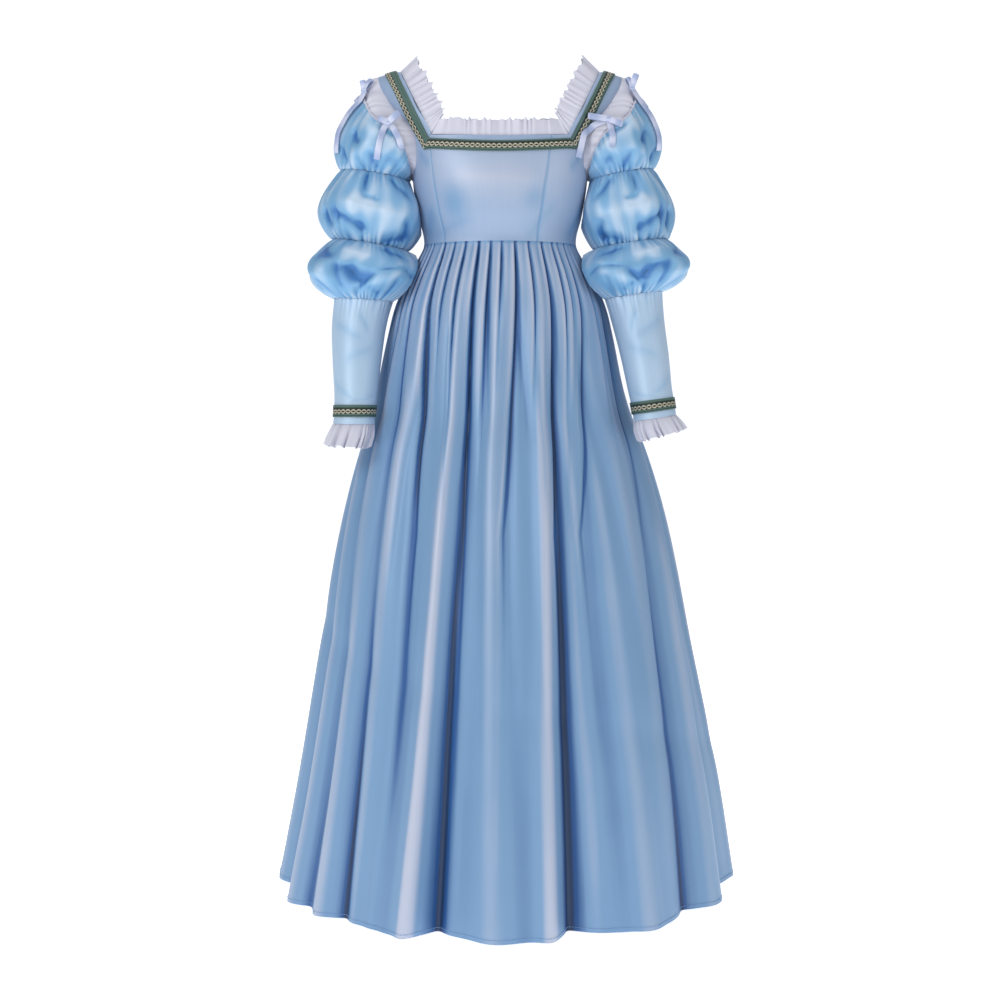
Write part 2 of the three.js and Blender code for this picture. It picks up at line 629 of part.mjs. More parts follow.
function makeNeckRuffle() {
  const edges = [
    { name: 'front', cornerX: frontCornerX - 3, middle: frontNeckHeight, end: frontCornerHeight, waves: 13 },
    { name: 'back', cornerX: backCornerX - 3, middle: backNeckHeight, end: backNeckHeight, waves: 13 },
  ];
  for (const edge of edges) {
    const spans = edge.waves * 2;
    const facing = edge.name === 'front' ? 1 : -1;
    const foot = [];
    const lean = [];
    for (let step = 0; step <= spans; step += 1) {
      const x = mix(-edge.cornerX, edge.cornerX, step / spans);
      const height = mix(edge.middle, edge.end, (x / edge.cornerX) ** 2);
      const turn = Math.sign(x) * angleOf(x, height);
      const angle = facing > 0 ? turn : 180 - turn;
      const normal = bodyNormal(angle, height);
      foot.push(bodyPoint(angle, height).addScaledVector(normal, -clothThickness / 2));
      const flat = new THREE.Vector3(normal.x, normal.y, 0).normalize();
      const towardsCorner = clamp01((Math.abs(x) - edge.cornerX + cornerFan) / cornerFan);
      const sideways = new THREE.Vector3(-Math.sign(x) * cornerLean * towardsCorner, 0, 1);
      lean.push({ up: sideways.addScaledVector(flat, -ruffleLean).normalize(), out: flat });
    }
    rufflePiece(`neck_ruffle_${edge.name}`, foot, lean, edge.waves, frontWaveDepth);
  }
  const strapFoot = [
    { along: 0, x: frontCornerX, height: frontCornerHeight + 2 },
    { along: 0.2, x: 130, height: -85 },
    { along: 0.36, x: 147, height: -50 },
    { along: 0.48, x: 160, height: -22 },
    { along: 0.6, x: 169, height: 0 },
    { along: 0.72, x: 160, height: -22 },
    { along: 0.85, x: 147, height: -50 },
    { along: 1, x: backCornerX, height: backNeckHeight + 2 },
  ];
  const waves = 12;
  for (const [sideName, side] of [['left', -1], ['right', 1]]) {
    const foot = [];
    const lean = [];
    const spans = waves * 2;
    for (let step = 0; step <= spans; step += 1) {
      const along = step / spans;
      const x = readTable(strapFoot, 'along', 'x', along);
      const height = Math.min(0, readTable(strapFoot, 'along', 'height', along));
      const turn = side * angleOf(x, height);
      const angle = along <= 0.6 ? turn : side * 180 - turn;
      const normal = bodyNormal(angle, height);
      const fromCorner = clamp01(Math.min(along / 0.15, (1 - along) / 0.12));
      const rise = mix(1 / cornerLean, Math.abs(along - 0.6) < 0.15 ? 0.95 : 0.55, fromCorner);
      const inwards = new THREE.Vector3(-side, 0, rise).normalize();
      foot.push(bodyPoint(angle, height).addScaledVector(normal, -clothThickness / 2));
      lean.push({ up: inwards, out: normal });
    }
    rufflePiece(`neck_ruffle_${sideName}`, foot, lean, waves, strapWaveDepth);
  }
}

// ---- sleeves: a lawn inset, three gathered puffs, a fitted forearm, a braid cuff and a lawn ruffle ----
const sleeveColumns = gathersPerPuff * 2;
const ringAngles = Array.from({ length: sleeveColumns }, (_, column) => (360 * column) / sleeveColumns);

// Where the bodice or the skirt would be met, the sleeve is moved just clear of it.
function clearOfBody(point) {
  const height = Math.min(-60, point.z);
  const clearance = height > waistHeight ? bodyClearance
    : mix(bodyClearance, skirtClearance, clamp01((waistHeight - height) / 60));
  const depth = figureAt(point.y < 0 ? 'front' : 'back', height) + clearance;
  const square = figureAt('square', height);
  const share = Math.abs(point.y) / depth;
  if (share >= 1) return point;
  const reach = (figureAt('halfWidth', height) + clearance) * (1 - share ** square) ** (1 / square);
  if (Math.abs(point.x) < reach) point.x = Math.sign(point.x) * reach;
  return point;
}

// A ring of a sleeve. Around starts at the outer side and runs over the front to the inner side.
function ringPoint(ring, side, around, swell) {
  const middle = (ring.outer + ring.inner) / 2;
  const half = (ring.outer - ring.inner) / 2 + swell;
  const share = (1 + Math.cos(around * degrees)) / 2;
  const x = side * (middle + half * Math.cos(around * degrees));
  const y = ring.middle - (ring.depth + swell) * Math.sin(around * degrees);
  return new THREE.Vector3(x, y, mix(ring.innerHeight, ring.outerHeight, share));
}

// The point of the bodice's own armhole edge that lies in a direction from the middle of the armhole.
function armholePoint(edge, around) {
  const turnOf = (point) => Math.atan2(-point.y, point.z - armholeMiddle) / degrees;
  const wanted = turnBetween(around, 0);
  for (let place = 0; place < edge.length; place += 1) {
    const start = edge[place];
    const end = edge[(place + 1) % edge.length];
    const before = turnBetween(turnOf(start), wanted);
    const after = turnBetween(turnOf(end), wanted);
    if (before <= 0 && after > 0 && after - before < 90) {
      const direction = new THREE.Vector2(-Math.sin(wanted * degrees), Math.cos(wanted * degrees));
      const offset = (point) => direction.cross(new THREE.Vector2(point.y, point.z - armholeMiddle));
      return start.clone().lerp(end, offset(start) / (offset(start) - offset(end)));
    }
  }
  throw new Error(`no armhole edge at ${around} degrees`);
}

function puffTopPoint(side, around) {
  const front = around <= 180 ? around : 360 - around;
  const y = readTable(puffTop, 'around', 'y', front) * (around <= 180 ? 1 : -armholeBackDepth);
  return new THREE.Vector3(
    side * readTable(puffTop, 'around', 'x', front),
    y,
    readTable(puffTop, 'around', 'height', front),
  );
}

const puffRows = [0, 0.2, 0.5, 0.8, 1];
const lobeWaves = [{ count: 5, share: 0.16, sense: 1 }, { count: 3, share: 0.1, sense: -1 }];
const lobeTurn = 70;
const fullPuffHeight = 70;
const insetGap = 2.1;
const cuffWaves = [0.4, 2.2, 4];
const insetSwell = { most: 9, share: 0.4, from: 14 };

// A point of a puff between its upper and lower ring, swelling out most below its middle.
function puffPoint([top, bottom], axis, belly, around, down, column, phase) {
  const point = top.clone().lerp(bottom, down);
  const outwards = point.clone().sub(axis);
  outwards.z = 0;
  outwards.normalize();
  const profile = Math.sin(Math.PI * down ** 1.15) ** 0.75;
  const lobes = lobeWaves.reduce(
    (sum, wave) => sum + wave.share * Math.cos((around * wave.count + wave.sense * phase) * degrees), 1);
  const edge = Math.abs(down - 0.5) * 2;
  const fullness = clamp01(top.distanceTo(bottom) / fullPuffHeight);
  const gather = (column % 2 === 0 ? 1 : -1) * gatherDepth * 0.5 * edge ** 3;
  return point.addScaledVector(outwards, (belly * profile * lobes + gather) * fullness);
}

function makeSleeve(sideName, sleeve) {
  const { side, gathers, forearm, ruffle } = sleeve;
  const ringOf = (ring) => ringAngles.map((around) => ringPoint(ring, side, around, 0));
  const puffTops = ringAngles.map((around) => puffTopPoint(side, around));
  const tops = [puffTops, ringOf(gathers[0]), ringOf(gathers[1])];
  const names = ['puff_upper', 'puff_middle', 'puff_lower'];
  for (const [place, name] of names.entries()) {
    const ring = gathers[place];
    const bottoms = ringOf(ring);
    const axis = tops[place].concat(bottoms).reduce((sum, point) => sum.add(point), new THREE.Vector3());
    axis.divideScalar(2 * sleeveColumns);
    const grid = puffRows.map((down) => ringAngles.map((around, column) => {
      const phase = place * lobeTurn;
      const ends = [tops[place][column], bottoms[column]];
      const point = puffPoint(ends, axis, ring.belly, around, down, column, phase);
      if (down === 0) point.z -= seamGap;
      return clearOfBody(point);
    }));
    const inner = moved(grid, gridNormals(grid, true), -side * clothThickness);
    addPiece(`${name}_${sideName}`, wallGeometry(grid, inner, true), satinSleeve);
  }

  const armRings = [gathers[2], ...forearm];
  const armAngles = ringAngles.filter((_, column) => column % 2 === 0);
  const armGrid = armRings.map((ring, row) => armAngles.map((around) => {
    const point = ringPoint(ring, side, around, 0);
    if (row === 0) point.z -= seamGap;
    return clearOfBody(point);
  }));
  const armNormals = gridNormals(armGrid, true);
  const armInside = moved(armGrid, armNormals, -side * clothThickness);
  addPiece(`forearm_${sideName}`, wallGeometry(armGrid, armInside, true), satinSleeve);

  const cuffRows = [forearm.length - 2, forearm.length - 1];
  const cuff = cuffRows.map((row) => armGrid[row]);
  const cuffNormals = cuffRows.map((row) => armNormals[row]);
  addPiece(`cuff_trim_${sideName}`, wallGeometry(
    moved(cuff, cuffNormals, side * (seamGap + braidThickness)),
    moved(cuff, cuffNormals, side * seamGap), true), braid);

  const wrist = forearm[forearm.length - 1];
  const ruffleRings = [wrist, ...ruffle];
  const ruffleGrid = ruffleRings.map((ring, row) => ringAngles.map((around, column) => {
    const wave = (column % 2 === 0 ? 1 : -1) * cuffWaves[row];
    const point = ringPoint(ring, side, around, wave);
    if (row === 0) point.z -= ruffleGap;
    return clearOfBody(point);
  }));
  addPiece(`cuff_ruffle_${sideName}`, wallGeometry(
    ruffleGrid, moved(ruffleGrid, gridNormals(ruffleGrid, true), -side * clothThickness), true), whiteLawn);

  const insetRows = [0, 0.5, 1];
  const insetGrid = insetRows.map((down) => ringAngles.map((around, column) => {
    const start = armholePoint(armholeEdges[sideName], around);
    const end = puffTopPoint(side, around);
    const width = start.distanceTo(end);
    const step = end.clone().sub(start).setLength(insetGap);
    start.add(step);
    end.sub(step);
    const turn = around * degrees;
    const outwards = new THREE.Vector3(side, -Math.sin(turn), Math.cos(turn)).normalize();
    const fullness = Math.min(insetSwell.most, Math.max(0, width - insetSwell.from) * insetSwell.share);
    const swell = fullness * Math.sin(Math.PI * down);
    const gather = (column % 2 === 0 ? 1 : -1) * Math.min(1, width / 30);
    return start.lerp(end, down).addScaledVector(outwards, swell + gather * down);
  }));
  addPiece(`inset_${sideName}`, wallGeometry(
    insetGrid, moved(insetGrid, gridNormals(insetGrid, true), -side * clothThickness), true), whiteLawn);
}

// ---- bows: ribbon ties at the shoulder and at the front of each sleeve, with hanging ends ----
// Each path is measured across (positive to the right) and up from its knot. A loop goes out to its
// tip and comes back above itself; a tail lies on the sleeve.
const bows = [
  {
    name: 'bow_top_left', knotX: -230, knotY: -30, knotHeight: -30, overEdge: true,
    loops: [{ across: 13, up: 17 }, { across: -3, up: 15 }],
    tails: [
      [{ across: -9, up: -2 }, { across: -18, up: -5 }, { across: -25, up: -9 }],
      [
        { across: -8, up: -18 }, { across: -27, up: -44 }, { across: -40, up: -78 }, { across: -46, up: -112 },
      ],
    ],
  },
  {
    name: 'bow_front_left', knotX: -186, knotY: -90, knotHeight: -98, overEdge: false,
    loops: [{ across: 19, up: 17 }, { across: -16, up: 7 }],
    tails: [
      [{ across: -6, up: -10 }, { across: -12, up: -30 }, { across: -18, up: -62 }],
      [{ across: 9, up: -9 }, { across: 18, up: -26 }, { across: 24, up: -44 }],
    ],
  },
  {
    name: 'bow_top_right', knotX: 222, knotY: -30, knotHeight: -28, overEdge: true,
    loops: [{ across: 8, up: 20 }, { across: -8, up: 14 }],
    tails: [
      [{ across: 10, up: -6 }, { across: 22, up: -18 }, { across: 28, up: -34 }],
      [{ across: 16, up: -24 }, { across: 32, up: -50 }, { across: 42, up: -84 }, { across: 46, up: -110 }],
    ],
  },
  {
    name: 'bow_front_right', knotX: 180, knotY: -90, knotHeight: -92, overEdge: false,
    loops: [{ across: -34, up: 5 }, { across: 22, up: -10 }],
    tails: [
      [{ across: -22, up: -8 }, { across: -40, up: -24 }, { across: -50, up: -64 }],
      [{ across: 4, up: -14 }, { across: 6, up: -30 }, { across: 5, up: -48 }],
    ],
  },
];
const knotSize = { across: 6, through: 4, up: 5 };
const ribbonGap = 1.0;
const sleeveMiddle = { x: 205, height: -120 };
const ribbonPatch = ribbonWidth / 2 + 1.5;
const tailSteps = [0.5, 1];
const loopProfile = [
  { reach: 0.45, lift: 1 },
  { reach: 0.88, lift: 1.2 },
  { reach: 1, lift: 4 },
  { reach: 0.8, lift: 7 },
  { reach: 0.4, lift: 7 },
];

// The way a ribbon faces: straight forward, or outwards over the top of the sleeve.
function facingAt(bow, x, height) {
  if (!bow.overEdge) return new THREE.Vector3(0, -1, 0);
  const side = Math.sign(bow.knotX);
  return new THREE.Vector3(x - side * sleeveMiddle.x, 0, height - sleeveMiddle.height).normalize();
}

function solidFrom(geometry) {
  const bare = geometry.clone();
  bare.deleteAttribute('normal');
  bare.deleteAttribute('uv');
  const merged = mergeVertices(bare, 1e-4);
  return new wasm.Manifold(new wasm.Mesh({
    numProp: 3,
    vertProperties: new Float32Array(merged.attributes.position.array),
    triVerts: new Uint32Array(merged.index.array),
  }));
}

function geometryFrom(solid) {
  const mesh = solid.getMesh();
  const geometry = new THREE.BufferGeometry();
  geometry.setAttribute('position', new THREE.Float32BufferAttribute(mesh.vertProperties, 3));
  geometry.setIndex(Array.from(mesh.triVerts));
  return geometry;
}

// A flat ribbon along a path of points, each with the way it faces.
function ribbonSolid(path) {
  const lower = [];
  const upper = [];
  for (const [place, { point, facing }] of path.entries()) {
    const next = path[Math.min(path.length - 1, place + 1)].point;
    const before = path[Math.max(0, place - 1)].point;
    const along = next.clone().sub(before).normalize();
    const across = facing.clone().cross(along).normalize().multiplyScalar(ribbonWidth / 2);
    const through = across.clone().cross(along).setLength(ribbonThickness);
    lower.push([point.clone().sub(across), point.clone().add(across)]);
    upper.push(lower[place].map((corner) => corner.clone().sub(through)));
  }
  return solidFrom(wallGeometry(upper, lower, false));
}

function makeBow(bow) {
  const targets = gown.children.filter((piece) => !piece.name.startsWith('bow'));
  const knotFacing = facingAt(bow, bow.knotX, bow.knotHeight);
  const knot = new THREE.Vector3(bow.knotX, bow.knotY, bow.knotHeight);
  const riseAt = (point, facing) => clothUnder(targets, point, facing, ribbonPatch) + ribbonGap;
  const knotRise = riseAt(knot, knotFacing);
  const knotShape = new THREE.SphereGeometry(1, 6, 4);
  knotShape.scale(knotSize.across, knotSize.through, knotSize.up);
  const centre = knot.clone().addScaledVector(knotFacing, knotRise + knotSize.through);
  knotShape.translate(centre.x, centre.y, centre.z);
  let solid = solidFrom(knotShape);
  for (const loop of bow.loops) {
    const path = loopProfile.map(({ reach, lift }) => {
      const point = knot.clone().add(new THREE.Vector3(loop.across * reach, 0, loop.up * reach));
      const rise = Math.max(knotRise, riseAt(point, knotFacing)) + lift;
      return { point: point.addScaledVector(knotFacing, rise), facing: knotFacing };
    });
    path.unshift({ point: centre.clone().addScaledVector(knotFacing, -1.5), facing: knotFacing });
    path.push({ point: centre.clone().addScaledVector(knotFacing, 1.5), facing: knotFacing });
    solid = solid.add(ribbonSolid(path));
  }
  for (const tail of bow.tails) {
    const path = [{ point: centre.clone(), facing: knotFacing }];
    let from = { across: 0, up: 0 };
    for (const stop of tail) {
      for (const share of tailSteps) {
        const x = bow.knotX + mix(from.across, stop.across, share);
        const height = bow.knotHeight + mix(from.up, stop.up, share);
        const facing = facingAt(bow, x, height);
        const point = new THREE.Vector3(x, bow.knotY, height);
        path.push({ point: point.addScaledVector(facing, riseAt(point, facing)), facing });
      }
      from = stop;
    }
    path.splice(1, 1);
    solid = solid.add(ribbonSolid(path));
  }
  addPiece(bow.name, geometryFrom(solid), ribbon);
}

// ---- assembly ----
makeBodice();
makeSkirt();
makeNeckBraid();
makeNeckRuffle();
for (const [sideName, sleeve] of Object.entries(sleeves)) makeSleeve(sideName, sleeve);
for (const bow of bows) makeBow(bow);

export default gown;
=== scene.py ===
import math

import bpy
import numpy as np
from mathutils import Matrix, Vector


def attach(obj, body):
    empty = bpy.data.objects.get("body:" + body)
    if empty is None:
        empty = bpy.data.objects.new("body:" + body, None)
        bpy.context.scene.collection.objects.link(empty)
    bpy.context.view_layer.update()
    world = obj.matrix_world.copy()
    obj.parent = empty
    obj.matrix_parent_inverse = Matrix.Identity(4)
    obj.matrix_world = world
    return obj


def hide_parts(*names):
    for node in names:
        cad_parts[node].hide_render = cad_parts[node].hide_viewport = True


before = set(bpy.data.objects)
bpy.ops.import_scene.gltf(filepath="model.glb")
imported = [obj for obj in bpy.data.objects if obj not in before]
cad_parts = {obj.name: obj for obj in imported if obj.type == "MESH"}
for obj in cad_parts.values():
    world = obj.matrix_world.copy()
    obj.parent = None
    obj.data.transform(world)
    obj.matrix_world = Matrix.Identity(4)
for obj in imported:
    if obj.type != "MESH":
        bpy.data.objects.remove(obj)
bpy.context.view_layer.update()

# ---- bodice ----
# Five panels of pale blue satin: a centre front, two side fronts and two backs, each cut with its strap.
# The princess seams curve over the bust, and the cloth is smooth and close to the body.
# The gown's outline down the body, in metres: height, half width, how much less on the left, depth in front,
# depth behind, and squareness (2 is an oval).
FIGURE = [
    (-1.365, .380, .015, .366, .362, 2), (-1.176, .353, .022, .346, .340, 2),
    (-.974, .316, .018, .318, .308, 2), (-.778, .280, .014, .277, .266, 2),
    (-.641, .243, .008, .238, .226, 2), (-.583, .221, .004, .216, .205, 2),
    (-.530, .207, 0, .201, .190, 2), (-.450, .190, 0, .177, .167, 2), (-.400, .177, 0, .160, .149, 2),
    (-.350, .155, 0, .134, .124, 2), (-.318, .138, 0, .115, .106, 2), (-.296, .129, 0, .104, .096, 2),
    (-.245, .139, 0, .117, .097, 2.1), (-.205, .146, 0, .121, .099, 2.2), (-.172, .149, 0, .117, .097, 2.4),
    (-.140, .150, 0, .110, .093, 2.6), (-.110, .157, 0, .101, .086, 2.8), (-.072, .186, 0, .086, .073, 3),
    (-.032, .206, 0, .060, .052, 3), (-.012, .213, 0, .038, .033, 3), (-.003, .215, 0, .019, .017, 3),
    (0, .216, 0, 0, 0, 3),
]
WAIST, HEM = -.296, -1.365
FRONT_NECK, FRONT_CORNER, BACK_NECK = -.1237, -.119, -.097
FRONT_CORNER_X, BACK_CORNER_X = .114, .124
# Rows of a side front: how far up, then the outer edge as an angle or as a distance across, and its height.
SIDE_FRONT = [
    (0, 90, None, -.296), (.16, 90, None, -.268), (.32, 90, None, -.240), (.48, 90, None, -.213),
    (.64, 90, None, -.187), (.82, None, .141, -.168), (1, None, .1395, -.148),
]
# Rows of a back: angle and height of the inner edge, then the outer edge as in a side front.
BACK = [
    (180, -.296, 90, None, -.296), (180, -.255, 90, None, -.262), (180, -.214, 90, None, -.229),
    (180, -.172, 90, None, -.187), (180, -.130, None, .141, -.170), (180, -.097, None, .1395, -.152),
    (158, -.097, None, .141, -.135), (142, -.097, None, .144, -.121),
]
# Rows of a strap, front half: distance across and height of the neck edge, then of the shoulder edge.
STRAP = [
    (.130, -.085, .157, -.092), (.147, -.050, .186, -.058), (.160, -.022, .202, -.026),
    (.167, -.006, .206, -.007), (.169, 0, .207, 0),
]
BACK_STRAP_FOOT = (.138, -.069, .174, -.078)
# Where the armhole edge passes the corner of the neckline: distance across and height, front and back.
FRONT_EDGE, BACK_EDGE = (.142, -.120), (.151, -.107)
# Creases of the bodice: angle and height of each end, in steps of 2.5 mm, then depth and half width.
HEIGHT_STEPS = 400
BODICE_CREASES = [
    (-70, -118, -52, -96, .0012, 5), (-62, -116, -20, -104, .0007, 4), (60, -116, 84, -86, .0012, 5),
    (20, -117, 40, -92, .0006, 4), (-30, -76, 22, -79, -.0010, 8), (48, -70, 62, -60, .0012, 4),
    (-48, -68, -62, -58, .0012, 4), (150, -110, 165, -80, .0010, 5), (-120, -116, -150, -90, .0010, 5),
]
SEAM_DEPTH = .0007


class Wire:
    """A socket of a material's nodes, which can be added, multiplied and compared like a number."""

    def __init__(self, tree, socket):
        self.tree, self.socket = tree, socket

    def node(self, kind, settings, inputs, out=0):
        made = self.tree.nodes.new(kind)
        for name, value in settings.items():
            setattr(made, name, value)
        for place, value in inputs.items():
            if isinstance(value, Wire):
                self.tree.links.new(value.socket, made.inputs[place])
            else:
                made.inputs[place].default_value = value
        return Wire(self.tree, made.outputs[out])

    def maths(self, operation, first, second=0.0):
        return self.node("ShaderNodeMath", {"operation": operation}, {0: first, 1: second})

    def __add__(self, other):
        return self.maths("ADD", self, other)

    def __radd__(self, other):
        return self.maths("ADD", other, self)

    def __sub__(self, other):
        return self.maths("SUBTRACT", self, other)

    def __mul__(self, other):
        return self.maths("MULTIPLY", self, other)

    def __truediv__(self, other):
        return self.maths("DIVIDE", self, other)

    def least(self, other):
        return self.maths("MINIMUM", self, other)

    def __abs__(self):
        return self.maths("ABSOLUTE", self)

    def sine(self):
        return self.maths("SINE", self)

    def blend(self, start, end, low=0.0, high=1.0):
        """A soft step from low to high as this goes from start to end."""
        return self.node("ShaderNodeMapRange", {"interpolation_type": "SMOOTHSTEP"},
                         {0: self, 1: start, 2: end, 3: low, 4: high})

    def noise(self, scale, detail=2.0):
        return self.node("ShaderNodeTexNoise", {}, {"Vector": self, "Scale": scale, "Detail": detail})

    def stretch(self, size):
        return self.node("ShaderNodeVectorMath", {"operation": "MULTIPLY"}, {0: self, 1: size})

    def part(self, axis):
        return self.node("ShaderNodeSeparateXYZ", {}, {0: self}, "XYZ".index(axis))

    def colours(self, first, second):
        """Goes from the first colour to the second as this goes from 0 to 1."""
        wide = [c if isinstance(c, Wire) else (*c, 1) for c in (first, second)]
        return self.node("ShaderNodeMix", {"data_type": "RGBA"}, {0: self, 6: wide[0], 7: wide[1]}, 2)

    def raised(self, strength, distance):
        return self.node("ShaderNodeBump", {}, {"Strength": strength, "Distance": distance, "Height": self})


def new_material(name):
    """An empty material, with its shader and wires for place in the gown, place on the cloth, and painted
    fold shade.
    """
    material = bpy.data.materials.new(name)
    material.use_nodes = True
    tree = material.node_tree
    shader = tree.nodes["Principled BSDF"]
    place = tree.nodes.new("ShaderNodeTexCoord")
    fold = tree.nodes.new("ShaderNodeAttribute")
    fold.attribute_name = "fold"
    return (material, tree, shader, Wire(tree, place.outputs["Object"]), Wire(tree, place.outputs["UV"]),
            Wire(tree, fold.outputs["Fac"]))


def satin(name, highlight_colour, mid, shade_colour):
    """Satin with a fine close weave: painted highlight pale on the ridges, painted shade deep blue in the
    folds.
    """
    material, tree, shader, place, cloth, fold = new_material(name)
    cloudy = place.noise(9.0, 2.0)
    streaks = cloth.stretch((260.0, 7.0, 1.0)).noise(1.0, 2.0)
    # The fold value, with a little random tone, picks the colour: painted shadow in the fold lines, painted
    # shade in the folds, painted highlight on the ridges.
    depth = fold + (cloudy - .5) * .10 + (streaks - .5) * .05
    shadow_line_colour = tuple(part * .35 for part in shade_colour)
    lower = depth.blend(-.45, .0).colours(shadow_line_colour, shade_colour)
    lower = depth.blend(.02, .47).colours(lower, mid)
    colour = depth.blend(.46, .95).colours(lower, highlight_colour)
    tree.links.new(colour.socket, shader.inputs["Base Color"])
    rough = .50 + (cloudy - .5) * .12
    tree.links.new(rough.socket, shader.inputs["Roughness"])
    shader.inputs["Specular IOR Level"].default_value = .7
    shader.inputs["Metallic"].default_value = .15
    shader.inputs["Sheen Weight"].default_value = .12
    shader.inputs["Sheen Roughness"].default_value = .4
    shader.inputs["Sheen Tint"].default_value = (.78, .82, 1, 1)
    weave = cloth.stretch((4200.0, 1500.0, 1.0)).noise(1.0, 1.0)
    tree.links.new(weave.raised(.10, .0002).socket, shader.inputs["Normal"])
    return material


def read_table(rows, column, at):
    """A smooth curve through one column of a table, read at any value of its first column."""
    keys = np.array([row[0] for row in rows], float)
    values = np.array([row[column] for row in rows], float)
    slopes = np.diff(values) / np.diff(keys)
    ends = np.concatenate([slopes[:1], (slopes[1:] + slopes[:-1]) / 2, slopes[-1:]])
    at = np.clip(at, keys[0], keys[-1])
    row = np.clip(np.searchsorted(keys, at, side="right") - 1, 0, len(keys) - 2)
    step = keys[row + 1] - keys[row]
    t = (at - keys[row]) / step
    return (values[row] * (1 + 2 * t) * (1 - t) ** 2 + ends[row] * step * t * (1 - t) ** 2
            + values[row + 1] * t * t * (3 - 2 * t) - ends[row + 1] * step * t * t * (1 - t))


def angle_of(x, height):
    """Turns a distance from the centre plane into the angle round the section that reaches it."""
    share = np.clip(np.abs(x) / read_table(FIGURE, 1, height), 0, 1)
    return np.degrees(np.arcsin(share ** (read_table(FIGURE, 5, height) / 2)))


def body_point(angle, height):
    """Points on the gown's outline. The angle is in degrees from the centre front, positive to the right."""
    square = read_table(FIGURE, 5, height)
    across, along = np.sin(np.radians(angle)), np.cos(np.radians(angle))
    depth = np.where(along >= 0, read_table(FIGURE, 3, height), read_table(FIGURE, 4, height))
    half = read_table(FIGURE, 1, height) - np.where(across < 0, read_table(FIGURE, 2, height), 0)
    x = half * np.sign(across) * np.abs(across) ** (2 / square)
    y = -depth * np.sign(along) * np.abs(along) ** (2 / square)
    drop = .3 * np.maximum(0, np.abs(x) - .178) * np.clip(1 + height / .07, 0, 1)
    return np.stack([x, y, height - drop], -1)


def bell(value, width):
    """1 where the value is nought, falling off to nought on both sides over the width."""
    return np.exp(-(value / width) ** 2)


def unit(vectors):
    return vectors / np.maximum(1e-12, np.linalg.norm(vectors, axis=-1, keepdims=True))


def grid_normals(points, ring=False):
    """Directions square to a grid of points, outwards where its columns run round and its rows run up."""
    if ring:
        along = np.roll(points[:, :-1], -1, 1) - np.roll(points[:, :-1], 1, 1)
        along = np.concatenate([along, along[:, :1]], 1)
    else:
        along = np.gradient(points, axis=1)
    return unit(np.cross(along, np.gradient(points, axis=0)))


def finer(points, rows, columns):
    """Fills a coarse grid in with straight steps, to so many rows and columns."""
    for axis, count in ((0, rows), (1, columns)):
        at = np.linspace(0, points.shape[axis] - 1, count)
        low = np.minimum(at.astype(int), points.shape[axis] - 2)
        share = (at - low).reshape([-1 if a == axis else 1 for a in range(points.ndim)])
        points = np.take(points, low, axis) * (1 - share) + np.take(points, low + 1, axis) * share
    return points


def creases(across, up, table, turn=None):
    """Soft troughs, or ridges where the depth is below nought. With a turn, the cloth closes on itself."""
    total = np.zeros(np.broadcast(across, up).shape)
    for u0, v0, u1, v1, depth, width in table:
        du, dv = u1 - u0, v1 - v0
        length = math.hypot(du, dv)
        for shift in ((0,) if turn is None else (-turn, 0, turn)):
            along = ((across + shift - u0) * du + (up - v0) * dv) / length ** 2
            aside = ((across + shift - u0) * dv - (up - v0) * du) / length
            taper = np.exp(-np.maximum(0, np.abs(along - .5) - .25) ** 2 / .05)
            total -= depth * np.exp(-np.abs(aside / width) ** 1.35) * taper
    return total


def make_cloth(name, points, material, thickness=.0010, ring=False, fold=None, smooth=55):
    """A sheet from a grid of points, from its outer face inwards. UV is the cloth's own measure in metres."""
    rows, columns = points.shape[:2]
    bpy.ops.object.select_all(action="DESELECT")
    bpy.ops.mesh.primitive_grid_add(x_subdivisions=columns - 1, y_subdivisions=rows - 1, size=2)
    piece = bpy.context.object
    piece.name = piece.data.name = name
    mesh = piece.data
    flat = np.empty(len(mesh.vertices) * 3)
    mesh.vertices.foreach_get("co", flat)
    flat = flat.reshape(-1, 3)
    column = np.rint((flat[:, 0] + 1) / 2 * (columns - 1)).astype(int)
    row = np.rint((flat[:, 1] + 1) / 2 * (rows - 1)).astype(int)
    mesh.vertices.foreach_set("co", points[row, column].ravel())
    width = np.concatenate([[0], np.cumsum(np.linalg.norm(np.diff(points, axis=1), axis=-1).mean(0))])
    length = np.concatenate([[0], np.cumsum(np.linalg.norm(np.diff(points, axis=0), axis=-1).mean(1))])
    corner = np.empty(len(mesh.loops), int)
    mesh.loops.foreach_get("vertex_index", corner)
    unrolled = np.stack([width[column[corner]], length[row[corner]]], -1)
    mesh.uv_layers.active.data.foreach_set("uv", unrolled.ravel())
    # The fold value is painted shade and highlight: low in hollows and creases, high on ridges. The material
    # turns it into colour.
    depth = np.full((rows, columns), .5) if fold is None else np.clip(fold, -.5, 1)
    mesh.attributes.new("fold", "FLOAT", "POINT").data.foreach_set("value", depth[row, column].ravel())
    mesh.update()
    if ring:
        bpy.ops.object.mode_set(mode="EDIT")
        bpy.ops.mesh.select_all(action="SELECT")
        bpy.ops.mesh.remove_doubles(threshold=1e-5)
        bpy.ops.object.mode_set(mode="OBJECT")
    wall = piece.modifiers.new("wall", "SOLIDIFY")
    wall.thickness = thickness
    wall.offset = -1
    bpy.ops.object.modifier_apply(modifier=wall.name)
    bpy.ops.object.shade_smooth_by_angle(angle=math.radians(smooth))
    piece.data.materials.append(material)
    return piece


